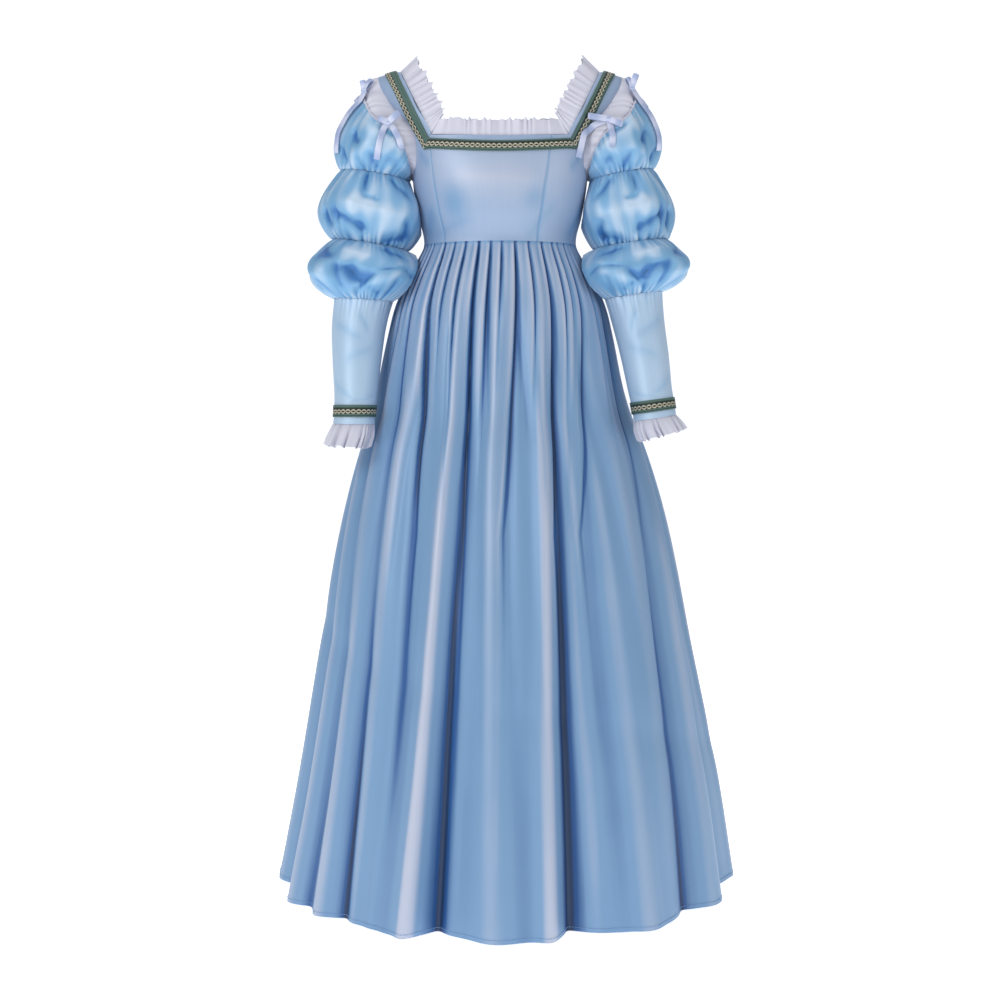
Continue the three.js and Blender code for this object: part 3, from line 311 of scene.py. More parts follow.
def measure(points):
    """The cut of a sheet: its longest row and column, and its area."""
    width = np.linalg.norm(np.diff(points, axis=1), axis=-1).sum(1).max()
    length = np.linalg.norm(np.diff(points, axis=0), axis=-1).sum(0).max()
    a, b, c, d = points[:-1, :-1], points[:-1, 1:], points[1:, 1:], points[1:, :-1]
    first, second = np.cross(b - a, c - a), np.cross(c - a, d - a)
    area = (np.linalg.norm(first, axis=-1) + np.linalg.norm(second, axis=-1)).sum() / 2
    return max(.0101, float(width)), max(.0101, float(length)), float(area)


def wear(piece, nodes, points):
    """Fixes a sheet of cloth to the gown, measures its cut and hides the parts it stands for."""
    width, length, area = measure(points)
    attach(piece, "root")
    if nodes:
        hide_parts(*nodes)


satin_blue = satin("satin blue", (.50, .545, .67), (.175, .325, .53), (.016, .095, .30))


def bodice_panel(name, rows, columns):
    """One panel, from rows of angle and height, filled in finely."""
    places = finer(np.array(rows, float), 66, columns)
    points = body_point(places[..., 0], places[..., 1])
    normal = grid_normals(points)
    angle, height = places[..., 0], places[..., 1]
    slack = creases(angle, height * HEIGHT_STEPS, BODICE_CREASES)
    from_seam = np.minimum(np.arange(columns), columns - 1 - np.arange(columns))[None, :] * 90 / columns
    seam = bell(from_seam, 1.3)
    points = points + normal * (slack - SEAM_DEPTH * seam)[..., None]
    # The colour carries painted light: a painted highlight over the bust, painted shade in the creases and
    # along the seams, and painted shadow in the two hollows under the bust.
    bust_highlight = np.clip((height + .25) / .06, 0, 1) * np.clip((-.13 - height) / .03, 0, 1)
    shadow_under_left = np.exp(-((angle + 31) / 9) ** 2 - ((height + .232) / .026) ** 2)
    shadow_under_right = np.exp(-((angle - 22) / 7) ** 2 - ((height + .226) / .018) ** 2)
    fold = .68 + slack * 110 + .05 * bust_highlight - .17 * seam - .20 * shadow_under_left - .10 * shadow_under_right
    piece = make_cloth(name, points, satin_blue, fold=fold)
    wear(piece, [name], points)
    return points


def span(inner, outer, count=9):
    """A row of places from the inner edge of a panel to its outer edge."""
    return [[inner[0] + (outer[0] - inner[0]) * s, inner[1] + (outer[1] - inner[1]) * s]
            for s in np.linspace(0, 1, count)]


def strap_span(row, side, behind, count=9):
    """A row across a strap."""
    places = []
    for s in np.linspace(0, 1, count):
        x, height = row[0] + (row[2] - row[0]) * s, row[1] + (row[3] - row[1]) * s
        turn = float(angle_of(x, height))
        places.append([side * (180 - turn if behind else turn), height])
    return places


def front_height(angle, rise):
    """Height of a front row, which follows the dip of the neckline more the higher it is."""
    return WAIST + (FRONT_NECK + (FRONT_CORNER - FRONT_NECK) * abs(angle) / 50 - WAIST) * rise


def seam_angle(side, rise):
    return -46.0 if side < 0 else 29 - 1.5 * rise


centre = []
for rise in [row[0] for row in SIDE_FRONT]:
    angles = np.linspace(seam_angle(-1, rise), seam_angle(1, rise), 10)
    centre.append([[a, front_height(a, rise)] for a in angles])
bodice_panel("bodice_front_centre", centre, 90)
FRONT_ARMHOLE_ROW, BACK_ARMHOLE_ROW = 21, 15
armhole_edges = {}
for side, side_name in ((-1, "left"), (1, "right")):
    front = []
    for rise, angle, x, height in SIDE_FRONT:
        inner = seam_angle(side, rise)
        outer = side * (angle if angle else float(angle_of(x, height)))
        front.append(span((inner, front_height(inner, rise)), (outer, height)))
    front.append(span((side * float(angle_of(FRONT_CORNER_X, FRONT_CORNER)), FRONT_CORNER),
                      (side * float(angle_of(*FRONT_EDGE)), FRONT_EDGE[1])))
    front += [strap_span(row, side, False) for row in STRAP]
    back = []
    for angle, height, outer_angle, x, outer_height in BACK:
        outer = outer_angle if outer_angle else 180 - float(angle_of(x, outer_height))
        back.append(span((side * angle, height), (side * outer, outer_height)))
    back.append(span((side * (180 - float(angle_of(BACK_CORNER_X, BACK_NECK))), BACK_NECK),
                     (side * (180 - float(angle_of(*BACK_EDGE))), BACK_EDGE[1])))
    back += [strap_span(row, side, True) for row in [BACK_STRAP_FOOT] + STRAP[1:]]
    # A panel's columns run from left to right seen from outside, so that its outer face shows.
    flip = slice(None, None, -1 if side < 0 else 1)
    front_points = bodice_panel(f"bodice_front_side_{side_name}", [row[flip] for row in front], 60)[:, flip]
    flip = slice(None, None, 1 if side < 0 else -1)
    back_points = bodice_panel(f"bodice_back_{side_name}", [row[flip] for row in back], 70)[:, flip]
    front_edge, back_edge = front_points[FRONT_ARMHOLE_ROW:, -1], back_points[BACK_ARMHOLE_ROW:, -1]
    armhole_edges[side] = np.concatenate([back_edge, front_edge[::-1]])

# ---- skirt ----
# Three long panels of the same satin, laid in uneven knife pleats and sewn into the raised waist.
# Below the hip the pleats let go, and the cloth hangs in deep folds down to a narrow stitched hem.
# Each fold: its angle at waist, hip, knee and hem, its depth at hip, knee and hem, its half width in degrees,
# and how much steeper its left side is than its right (below nought the right side is the steep one).
FOLDS = [
    (-75, -66, -59, -59, .005, .010, .014, 6, .3), (-60, -52, -46, -44, .008, .015, .024, 7, .3),
    (-45, -35, -31, -31, .012, .015, .010, 7, .2), (-16, -14, -15.4, -16.6, .012, .023, .036, 7, .45),
    (11, 3.8, 3.2, 5, .009, .008, .004, 6, .2), (32, 22.5, 19, 18, .012, .023, .036, 7, .4),
    (54, 35, 31, 32, .009, .011, .008, 7, .3), (75, 64, 57, 53.5, .008, .014, .020, 7, -.3),
    (94, 84, 79, 76, .006, .014, .020, 7, .2), (112, 105, 101, 99, .009, .019, .028, 7, .3),
    (130, 127, 123, 120, .007, .013, .018, 7, -.3), (150, 147, 145, 142, .011, .022, .034, 7, .3),
    (168, 167, 165, 163, .008, .014, .020, 6, -.2), (-172, -171, -172, -174, .009, .018, .027, 6, .3),
    (-153, -151, -150, -151, .009, .020, .032, 7, -.3), (-134, -130, -128, -127, .007, .013, .018, 7, .3),
    (-114, -108, -104, -103, .009, .019, .028, 7, -.2), (-94, -86, -80, -79, .006, .014, .020, 7, .3),
]
# Each pleat: its angle at the waist, how far down it lasts, and its depth.
PLEATS = [
    (-80, .12, .004), (-71, .20, .004), (-63.6, .10, .003), (-59, .24, .004), (-45.3, .38, .0055),
    (-35.5, .15, .004), (-26.2, .22, .0045), (-15.9, .42, .006), (-6.9, .20, .0045), (1.1, .13, .004),
    (10.9, .36, .0055), (21.1, .17, .004), (31.8, .42, .006), (41.3, .19, .004), (47, .11, .003),
    (54.5, .34, .005), (65, .16, .004), (76, .26, .004), (86, .14, .004), (97, .30, .005), (106, .12, .004),
    (117, .24, .005), (128, .33, .005), (137, .15, .004), (147, .37, .006), (158, .18, .004),
    (167, .30, .005), (176, .14, .004), (-173, .34, .005), (-163, .16, .004), (-152, .38, .006),
    (-142, .19, .004), (-132, .28, .005), (-121, .13, .004), (-112, .31, .005), (-101, .17, .004),
    (-91, .25, .004),
]
# Shorter creases and soft ridges between the folds: angle and height of each end, depth, half width.
SKIRT_CREASES = [
    (-27, -.40, -23, -.66, .0036, 2.2), (-7, -.38, -5, -.60, .0032, 2.0), (9, -.40, 12, -.62, .0028, 1.8),
    (18, -.46, 15, -.74, .0032, 2.2), (-40, -.52, -38, -.86, .0036, 2.4),
    (-22, -.78, -24, -1.22, .0024, 3.0), (-7, -.74, -6, -1.10, .0020, 2.6),
    (11, -.80, 12, -1.30, .0022, 2.4), (25, -.62, 25, -1.06, .0024, 2.6), (42, -.60, 44, -1.04, .0024, 3.0),
    (-52, -.62, -51, -1.04, .0020, 2.6), (70, -.70, 66, -1.20, .0024, 3.0),
    (-68, -.86, -67, -1.30, .0024, 3.0), (40, -1.02, 41, -1.36, .0024, 3.0),
    (-37, -1.04, -38, -1.36, .0028, 2.6), (-10, -1.12, -11, -1.36, .0024, 2.4),
    (0, -.90, -1, -1.28, -.0020, 4.0), (27, -1.16, 26, -1.36, .0020, 2.2),
    (92, -.74, 88, -1.16, .0020, 3.0), (120, -.66, 116, -1.08, .0022, 3.0),
    (138, -.80, 134, -1.26, .0024, 3.0), (157, -.70, 155, -1.20, .0024, 3.0),
    (-178, -.82, 179, -1.24, .0020, 3.0), (-161, -.62, -162, -1.02, .0022, 3.0),
    (-141, -.78, -139, -1.24, .0024, 3.0), (-119, -.68, -117, -1.10, .0022, 3.0),
    (-97, -.84, -92, -1.30, .0024, 3.0),
]
FOLD_HEIGHTS = (HEM, -.974, -.632, WAIST)
# Each fold also draws the pleats near it along, from its angle at the waist to its angle at the hip.
PLEAT_WARP = sorted((fold[0], fold[1]) for fold in FOLDS)
HIP_DROP = .336
# Shares of a fold's depth: its wide hollow, the sharp valley in it, and the raised shoulders beside it.
HOLLOW, VALLEY, SHOULDER = .80, .38, .45
RIPPLE = .0011


def turn_between(a, b):
    """Degrees from b to a, the short way round."""
    return (a - b + 540) % 360 - 180


def skirt_surface(angle, height):
    """Points of the skirt's outer face, how far each stands out from its outline, and the painted shadow
    lines of the folds.
    """
    offset = np.zeros(np.broadcast(angle, height).shape)
    line = offset.copy()
    down = WAIST - height
    below_hip = np.clip((down - .25) / .3, 0, 1)
    for waist, hip, knee, hem, hip_depth, knee_depth, hem_depth, spread, lean in FOLDS:
        rows = list(zip(FOLD_HEIGHTS, (hem, knee, hip, waist), (hem_depth, knee_depth, hip_depth, 0)))
        depth = read_table(rows, 2, height)
        away = turn_between(angle, read_table(rows, 1, height)) / spread
        away = away / (1 + lean * np.tanh(away * 2.5))
        offset -= depth * (HOLLOW * np.exp(-away ** 2) + VALLEY * bell(away, .32))
        offset += depth * SHOULDER * np.exp(-2 * (np.abs(away) - 1.6) ** 2)
        # Painted shadow lines run down the valleys of the deeper folds.
        line += 2.4 * bell(away, .17) * np.clip((depth - .006 - .006 * below_hip) / .010, 0, 1)
    waists, hips = zip(*PLEAT_WARP)
    for waist, reach, depth in PLEATS:
        hip = np.interp(waist, waists, hips)
        place = waist + (hip - waist) * np.clip(down / HIP_DROP, 0, 1.4)
        away = turn_between(angle, place) / (1.5 + 1.2 * np.clip(down / .35, 0, 1))
        fading = np.exp(-(np.maximum(0, down - reach * .35) / reach) ** 2)
        strength = depth * np.clip(.35 + down / .05, 0, 1) * fading
        edge = np.where(away < 0, bell(away, .28), np.exp(-np.abs(away / .9) ** 1.3))
        # Each pleat also gets a painted shadow line along its fold.
        line += 1.3 * np.exp(-((away - .05) / .22) ** 2) * strength / .0035
        offset -= strength * edge
        offset += strength * .30 * np.exp(-((away + 1.1) / .8) ** 2)
    # The creases' heights are turned into centimetres, to be of one order with the degrees.
    table = [(a, h * 100, b, k * 100, d, w) for a, h, b, k, d, w in SKIRT_CREASES]
    offset = offset + creases(angle, height * 100, table, 360)
    loose = np.clip(down / .25, 0, 1)
    ripple = np.sin(np.radians(angle * 23 + 40 * np.sin(height * 7)))
    ripple = ripple + .7 * np.sin(np.radians(angle * 37 + 210))
    ripple = ripple + .5 * np.sin(np.radians(angle * 11 + 90) + height * 9)
    offset = offset + loose * RIPPLE * ripple
    points = body_point(angle, height)
    flat = points * np.array([1, 1, 0])
    return points + unit(flat) * offset[..., None], offset, line


def loosening(down):
    """How far the cloth hangs free, from the pleats at the waist to the folds below the hip."""
    return .55 + .45 * np.clip(down / .3, 0, 1)


def stand_out(angle, height, reach, offset):
    """How far the cloth stands out past its neighbours, so many degrees to both sides."""
    sides = skirt_surface(angle + reach, height)[1] + skirt_surface(angle - reach, height)[1]
    return offset - .5 * sides


def skirt_panel(name, first, last, columns, rows):
    """One panel, from one angle round the body to another. Its colour follows the folds as painted shade and
    highlight.
    """
    angle = np.linspace(first, last, columns)[None, :]
    # Rows lie closer together near the waist, where the pleats are small.
    share = np.linspace(0, 1, rows)[:, None]
    height = HEM + (WAIST - HEM) * (1 - (1 - share) ** 1.35)
    angle, height = np.broadcast_arrays(angle, height)
    points, offset, line = skirt_surface(angle, height)
    down = WAIST - height
    reach = 2.4 + 3 * np.clip(down / .35, 0, 1)
    scale = .0020 + .012 * np.clip(down / .6, 0, 1)
    relief = np.tanh(stand_out(angle, height, reach, offset) / scale)
    # Painted shade fills the hollows, most strongly near the waist, where the pleats lie close.
    hollow_shade = .24 + .48 * bell(down, .22)
    # Where the cloth bends outwards most sharply it catches the light in a narrow streak.
    bend = np.maximum(0, stand_out(angle, height, 1.5, offset))
    streak = (bend / (bend + .0009)) ** 3
    # A thin painted shadow line runs along the waist seam.
    seam = .35 * bell(down, .003)
    # The colour: paler near the waist, painted shade in the hollows, a slightly paler painted sheen on the
    # ridges, painted highlight streaks, painted shadow lines, and a little darker towards the hem.
    fold = .49 + .17 * bell(down, .18) + np.where(relief < 0, hollow_shade * relief, .09 * relief)
    fold = fold + .62 * streak * loosening(down)
    fold = fold - .38 * line - seam - .06 * np.clip((down - .45) / .35, 0, 1)
    piece = make_cloth(name, points, satin_blue, fold=fold)
    return piece, points


panels = {}
for name, first, last, columns, rows in (
        ("skirt_front", -90, 90, 401, 111),
        ("skirt_back_left", -180, -90, 181, 90),
        ("skirt_back_right", 90, 180, 181, 90)):
    panels[name] = skirt_panel(name, first, last, columns, rows)

# The hem is turned up and held by a running stitch of blue thread, which dips in and out of the cloth.
thread, tree, shader = new_material("blue thread")[:3]
shader.inputs["Base Color"].default_value = (.20, .36, .62, 1)
shader.inputs["Roughness"].default_value = .6


def between(at, keys, points):
    """Reads a line of points in space at any measure along it."""
    return np.stack([np.interp(at, keys, points[:, axis]) for axis in range(3)], -1)


def running_stitch(name, line, outwards, pitch=.005, radius=.00035, rise=.0006):
    """A thread along a line of points, up over the cloth and down through it at each stitch."""
    length = np.concatenate([[0], np.cumsum(np.linalg.norm(np.diff(line, axis=0), axis=-1))])
    at = np.arange(0, length[-1], pitch / 6)
    out = unit(between(at, length, outwards))
    lift = np.clip(np.sin(2 * np.pi * at / pitch) * 1.6 + .5, -1, 1) * rise
    path = between(at, length, line) + out * lift[:, None]
    side = unit(np.cross(np.gradient(path, axis=0), out))
    turns = np.linspace(0, 2 * np.pi, 6)[:, None, None]
    tube = path[None] + radius * (np.cos(turns) * side[None] + np.sin(turns) * out[None])
    piece = make_cloth(name, tube[::-1], thread, thickness=.0001)
    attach(piece, "root")
    return piece


for name, (piece, points) in panels.items():
    normal = grid_normals(points)
    stitches = running_stitch(name + "_hem_stitch", points[0] * .55 + points[1] * .45, normal[1])
    wear(piece, [name], points)

# ---- neck trim ----
# Woven braid 18 mm wide, laid on the bodice round the neckline and over both straps, mitred at the corners.
# Its ground is very dark green between sage edges, with a chain of ivory and gold thread down the middle.
BRAID_WIDTH, BRAID_INSET, BRAID_LIFT = .018, .006, .0022
# How far the braid runs outwards for each metre of its width, at the mitred corners and along a strap.
MITRE, SLANT = .45, 1.1
# The neck edge over a strap, from the front corner to the back corner: step, distance across, and height.
STRAP_PATH = [
    (0, .114, -.119), (1, .130, -.085), (2, .147, -.050), (3, .160, -.022), (4, .167, -.006), (5, .169, 0),
    (6, .167, -.006), (7, .160, -.022), (8, .147, -.050), (9, .138, -.069), (10, .131, -.084),
    (11, .124, -.097),
]
STRAP_TOP, STRAP_END = 5, 11
# The braid's repeats along its length: the chain, the dots on its edges, and the scallops of the neck edge.
CHAIN, DOTS, SCALLOPS = .0176, .0034, .0052


def braid_material(name, green_band):
    """The woven braid. With a green band, the half next to the neck is plain sage."""
    material, tree, shader, _, cloth, _ = new_material(name)
    along, across = cloth.part("X"), cloth.part("Y") / BRAID_WIDTH
    middle = .30 if green_band else .52
    wave = (along * (2 * math.pi / CHAIN)).sine()
    first = abs(across - middle - wave * .16)
    second = abs(across - middle + wave * .16)
    strands = first.least(second).blend(.04, .085, 1.0, 0.0) * (wave * wave).blend(.0, .30, .55, 1.0)
    eye = abs(wave).blend(.90, .99) * abs(across - middle).blend(.04, .08, 1.0, 0.0)
    dots = (along * (2 * math.pi / DOTS)).sine().blend(.1, .6)
    edge_dots = dots * abs(abs(across - .5) - .41).blend(.025, .055, 1.0, 0.0)
    scallops = (along * (2 * math.pi / SCALLOPS) + 1).sine().blend(-.2, .5) * across.blend(.0, .10, 1.0, 0.0)
    low, high = (.55, .92) if green_band else (.13, .26)
    band = across.blend(low, low + .04) * across.blend(high, high + .04, 1.0, 0.0)
    threads = cloth.stretch((2600.0, 2600.0, 1.0)).noise(1.0, 2.0)
    ground = (threads * .6 + .2).colours((.002, .006, .006), (.012, .034, .028))
    sage = threads.colours((.04, .09, .075), (.10, .18, .155))
    colour = band.colours(ground, sage)
    selvedge = abs(across - .5).blend(.38, .44)
    colour = selvedge.colours(colour, sage)
    colour = edge_dots.colours(colour, (.02, .05, .04))
    colour = scallops.colours(colour, (.14, .23, .19))
    colour = eye.colours(colour, (.02, .04, .04))
    colour = strands.colours(colour, threads.colours((.30, .25, .13), (.78, .74, .60)))
    tree.links.new(colour.socket, shader.inputs["Base Color"])
    shader.inputs["Roughness"].default_value = .55
    relief = strands * .6 + edge_dots * .4 + scallops * .3 + threads * .25
    tree.links.new(relief.raised(.8, .0008).socket, shader.inputs["Normal"])
    return material


braid = braid_material("neck braid", False)
braid_left = braid_material("left strap braid", True)


def lay_braid(name, points, material, ring=False):
    """Makes a length of braid on a grid of points and fixes it to the gown."""
    piece = make_cloth(name, points, material, thickness=.0012, ring=ring, smooth=40)
    wear(piece, [name], points)


inwards = (BRAID_INSET + BRAID_WIDTH * np.linspace(1, 0, 7))[:, None]
for name, corner, edge_height, middle_height, behind in (
        ("neck_trim_front", FRONT_CORNER_X, FRONT_CORNER, FRONT_NECK, False),
        ("neck_trim_back", BACK_CORNER_X, BACK_NECK, BACK_NECK, True)):
    reach = corner + inwards * MITRE
    x = reach * np.linspace(-1, 1, 120)[None, :] * (-1 if behind else 1)
    share = np.clip(np.abs(x) / corner, 0, 1)
    height = middle_height - .003 + (edge_height - middle_height + .003) * share ** 2 - inwards
    angle = np.sign(x) * angle_of(x, height)
    points = body_point(180 - angle if behind else angle, height)
    lay_braid(name, points + grid_normals(points) * BRAID_LIFT, braid)
for side, side_name in ((-1, "left"), (1, "right")):
    steps = np.linspace(0, STRAP_END, 110)
    at_end = np.clip(np.maximum(1 - steps, steps - STRAP_END + 1), 0, 1)[None, :]
    height = np.minimum(0, read_table(STRAP_PATH, 2, steps))[None, :] - inwards * at_end
    x = read_table(STRAP_PATH, 1, steps)[None, :] + inwards * (SLANT + (MITRE - SLANT) * at_end)
    angle = side * angle_of(x, height)
    angle = np.where(steps[None, :] <= STRAP_TOP, angle, side * 180 - angle)
    points = body_point(angle, height)
    normal = grid_normals(points)
    # The same rows and columns face outwards on one side and inwards on the other, where they are turned.
    top_column = 50
    up = 1 if normal[:, top_column, 2].mean() > 0 else -1
    points = (points + normal * up * BRAID_LIFT)[:, ::up]
    material = braid_left if side < 0 else braid
    lay_braid(f"neck_trim_{side_name}", points, material)

# ---- neck ruffle ----
# A narrow ruffle of fine white lawn, gathered into the inside of the neckline and standing up from it.
# It leans in over the neck, with small pleats on the straps and wider ones across the front and the back.
RUFFLE_HEIGHT, STRAP_RUFFLE_HEIGHT = .027, .036
# Its seam along a strap: share of the way over, distance across, and height.
STRAP_FOOT = [
    (0, .114, -.117), (.2, .130, -.085), (.36, .147, -.050), (.48, .160, -.022), (.6, .169, 0),
    (.72, .160, -.022), (.85, .147, -.050), (1, .124, -.095),
]
# The top of the shoulder is at this share of the way.
SHOULDER_AT = .6
SEAM_INSET, LAWN_THICKNESS = .00075, .0008
lawn, tree, shader, _, cloth, fold = new_material("white lawn")
threads = cloth.stretch((1500.0, 1500.0, 1.0)).noise(1.0, 1.0)
# The lawn is painted darker in the hollows of its gathers and near its seams, as painted shade, and paler on
# their crests, as painted highlight.
colour = (fold + (threads - .5) * .15).blend(.1, .85).colours((.40, .40, .50), (.67, .67, .76))
tree.links.new(colour.socket, shader.inputs["Base Color"])
shader.inputs["Roughness"].default_value = .85
shader.inputs["Sheen Weight"].default_value = .2
tree.links.new(threads.raised(.15, .0003).socket, shader.inputs["Normal"])


def ruffle(name, foot, up, out, waves, depth, uneven, tall=RUFFLE_HEIGHT):
    """Gathered lawn: waves that grow from the seam to the free edge, uneven in width and in height."""
    t = np.linspace(0, 1, len(foot))
    phase = waves * t + uneven * (np.sin(t * 17 + 1) + .6 * np.sin(t * 41 + 2)) / 6
    rise = np.linspace(0, 1, 15)[:, None]
    swell = .65 + .35 * np.sin(2 * np.pi * phase * .31 + 1) * np.sin(2 * np.pi * phase * .13)
    sway = (np.cos(2 * np.pi * phase) + .30 * np.cos(2 * np.pi * phase * 1.93 + 1)) * swell
    wave = sway[None] * depth * (.18 + .82 * rise ** .8)
    edge = 1 + .06 * np.sin(2 * np.pi * phase * .53)[None] + .05 * np.sin(2 * np.pi * phase + .7)[None]
    points = (foot[None] + up[None] * (.0008 + tall * rise * edge)[..., None] + out[None] * wave[..., None])
    points = points + up[None] * (.0005 * np.sin(2 * np.pi * phase * 2)[None] * rise)[..., None]
    shade = .62 + .22 * sway[None] * (.4 + .6 * rise) - .25 * bell(rise, .10)
    piece = make_cloth(name, points, lawn, thickness=LAWN_THICKNESS, fold=np.broadcast_to(shade, wave.shape))
    wear(piece, [name], points)


def body_normal(angle, height):
    """Direction square to the gown's outline, straight up on top of the shoulder."""
    low, high = np.minimum(height, -.0006) - .0005, np.minimum(height, -.0006) + .0005
    around = body_point(angle + 1.5, (low + high) / 2) - body_point(angle - 1.5, (low + high) / 2)
    normal = unit(np.cross(around, body_point(angle, high) - body_point(angle, low)))
    return np.where((height > -.001)[..., None], np.array([0, 0, 1.0]), normal)


for name, corner, middle, end, behind in (
        ("neck_ruffle_front", FRONT_CORNER_X, FRONT_NECK, FRONT_CORNER, False),
        ("neck_ruffle_back", BACK_CORNER_X, BACK_NECK, BACK_NECK, True)):
    x = np.linspace(-corner, corner, 320) * (-1 if behind else 1)
    height = middle + (end - middle) * (x / corner) ** 2
    turn = np.sign(x) * angle_of(x, height)
    angle = 180 - turn if behind else turn
    normal = body_normal(angle, height)
    flat = unit(normal * np.array([1, 1, 0]))
    corner_share = np.clip((np.abs(x) - corner + .034) / .034, 0, 1)
    up = np.stack([-np.sign(x) * .46 * corner_share, 0 * x, 1 + 0 * x], -1)
    foot = body_point(angle, height) - normal * SEAM_INSET
    ruffle(name, foot, unit(up - .12 * flat), flat, 15, .0024, 3.4)
for side, side_name in ((-1, "left"), (1, "right")):
    along = np.linspace(0, 1, 420)
    x = read_table(STRAP_FOOT, 1, along)
    height = np.minimum(0, read_table(STRAP_FOOT, 2, along))
    turn = side * angle_of(x, height)
    angle = np.where(along <= SHOULDER_AT, turn, side * 180 - turn)
    normal = np.pad(body_normal(angle, height), ((12, 12), (0, 0)), mode="edge")
    normal = unit(np.stack([np.convolve(part, np.ones(25) / 25, "valid") for part in normal.T], -1))
    corner = np.clip(np.minimum(along / .15, (1 - along) / .12), 0, 1)
    # It stands up most over the shoulder, and leans to the mitre at the corners.
    upright = np.interp(np.abs(along - SHOULDER_AT), [.10, .20], [.95, .55])
    rise = 1 / .64 + (upright - 1 / .64) * corner
    up = unit(np.stack([-side + 0 * rise, 0 * rise, rise], -1))
    foot = body_point(angle, height) - normal * SEAM_INSET
    if side > 0:
        foot, up, normal = foot[::-1], up[::-1], normal[::-1]
    ruffle(f"neck_ruffle_{side_name}", foot, up, normal, 22, .0019, 2.0, STRAP_RUFFLE_HEIGHT)

# ---- sleeves ----
# Each sleeve has three puffs of lighter satin, drawn in by gathering threads, over a close forearm.
# The puffs are fuller below their middles, with tight puckers at each gathering line and big creases between.
# Rings of each sleeve: distance from the middle of the gown at the outer and inner side, middle of its depth
# and half its depth, outer and inner height, and for a gathering line the swell of the puff above it.
GATHERS = {
    -1: [(.268, .154, -.006, .054, -.168, -.187, .022), (.281, .157, -.016, .060, -.286, -.306, .030),
         (.277, .180, -.044, .050, -.388, -.394, .049)],
    1: [(.258, .151, -.006, .053, -.166, -.187, .022), (.281, .160, -.016, .060, -.286, -.303, .022),
        (.271, .174, -.044, .050, -.376, -.390, .048)],
}
FOREARM = {
    -1: [(.280, .190, -.058, .047, -.436, -.438), (.277, .196, -.078, .043, -.490, -.490),
         (.272, .201, -.100, .038, -.545, -.545), (.271, .203, -.110, .035, -.566, -.566),
         (.271, .204, -.119, .034, -.586, -.586), (.272, .204, -.123, .034, -.596, -.597)],
    1: [(.274, .188, -.058, .047, -.428, -.436), (.279, .200, -.078, .043, -.482, -.488),
        (.282, .210, -.098, .038, -.534, -.541), (.284, .214, -.108, .035, -.553, -.562),
        (.286, .217, -.117, .034, -.572, -.582), (.287, .218, -.121, .034, -.581, -.592)],
}
CUFF_RUFFLE = {
    -1: [(.279, .206, -.128, .040, -.614, -.616), (.283, .212, -.131, .046, -.630, -.634)],
    1: [(.294, .219, -.126, .040, -.592, -.608), (.300, .225, -.129, .046, -.604, -.624)],
}
PUFF_TOP = [
    (0, .230, 0, -.036), (41, .222, -.038, -.062), (77, .204, -.066, -.090), (93, .178, -.070, -.109),
    (114, .160, -.067, -.134), (140, .153, -.050, -.160), (180, .153, -.003, -.178),
]
ARMHOLE_MIDDLE = -.105
# Big creases of the puffs: degrees round the sleeve from the outer side over the front, part of the way down,
# depth, and half width. Below nought is a ridge.
PUFF_CREASES = [
    [(38, 40, 66, 58, .0080, 9), (80, 62, 96, 96, .0070, 7), (106, 56, 136, 94, .0090, 10),
     (78, 12, 105, 14, .0035, 4), (139, 38, 143, 98, .0045, 4), (60, 20, 112, 30, -.0045, 12),
     (20, 66, 44, 92, .0060, 6), (64, 74, 74, 98, .0045, 4), (196, 8, 214, 70, .0060, 8),
     (252, 40, 232, 94, .0070, 9), (286, 10, 300, 60, .0060, 8), (330, 46, 312, 92, .0060, 8)],
    [(79, 0, 81, 36, .0065, 4), (81, 36, 100, 40, .0055, 4), (45, 60, 92, 86, .0085, 7),
     (24, 56, 40, 86, .0080, 9), (50, 48, 54, 98, .0050, 4), (107, 98, 150, 84, .0070, 6),
     (114, 2, 138, 34, .0060, 6), (60, 44, 124, 58, -.0050, 14), (130, 62, 148, 96, .0060, 6),
     (30, 4, 22, 34, .0050, 6), (200, 10, 222, 60, .0065, 8), (262, 50, 226, 92, .0075, 9),
     (280, 6, 296, 52, .0060, 8), (332, 40, 310, 92, .0065, 8)],
    [(30, 12, 58, 36, .0090, 8), (63, 36, 67, 90, .0060, 4), (68, 42, 94, 74, .0105, 10),
     (80, 98, 106, 50, .0065, 4), (106, 50, 130, 42, .0060, 4), (130, 42, 150, 60, .0060, 5),
     (127, 60, 129, 98, .0055, 4), (104, 8, 138, 24, .0075, 7), (16, 50, 34, 92, .0080, 7),
     (40, 66, 52, 98, .0060, 5), (96, 78, 118, 92, .0060, 6), (62, 14, 96, 26, -.0050, 9),
     (196, 8, 216, 76, .0070, 8), (256, 30, 230, 92, .0085, 9), (276, 6, 300, 60, .0070, 8),
     (330, 34, 312, 94, .0070, 8)],
]
# Faint drag lines of a forearm: degrees round and way down of each end, depth, and half width.
FOREARM_CREASES = [
    (30, 14, 110, 24, .0016, 3), (60, 34, 140, 28, .0014, 3), (20, 44, 90, 56, .0014, 3),
    (80, 62, 150, 54, .0012, 3), (200, 20, 280, 34, .0014, 3), (220, 52, 300, 44, .0014, 3),
    (90, 8, 120, 20, .0018, 3), (50, 72, 120, 80, .0010, 3),
]
PUCKER_DEPTH, PUFF_WRINKLE, FOREARM_GATHER = .0034, .0011, .0010
satin_sleeve = satin("satin sleeve", (.50, .64, .79), (.18, .40, .64), (.035, .175, .46))


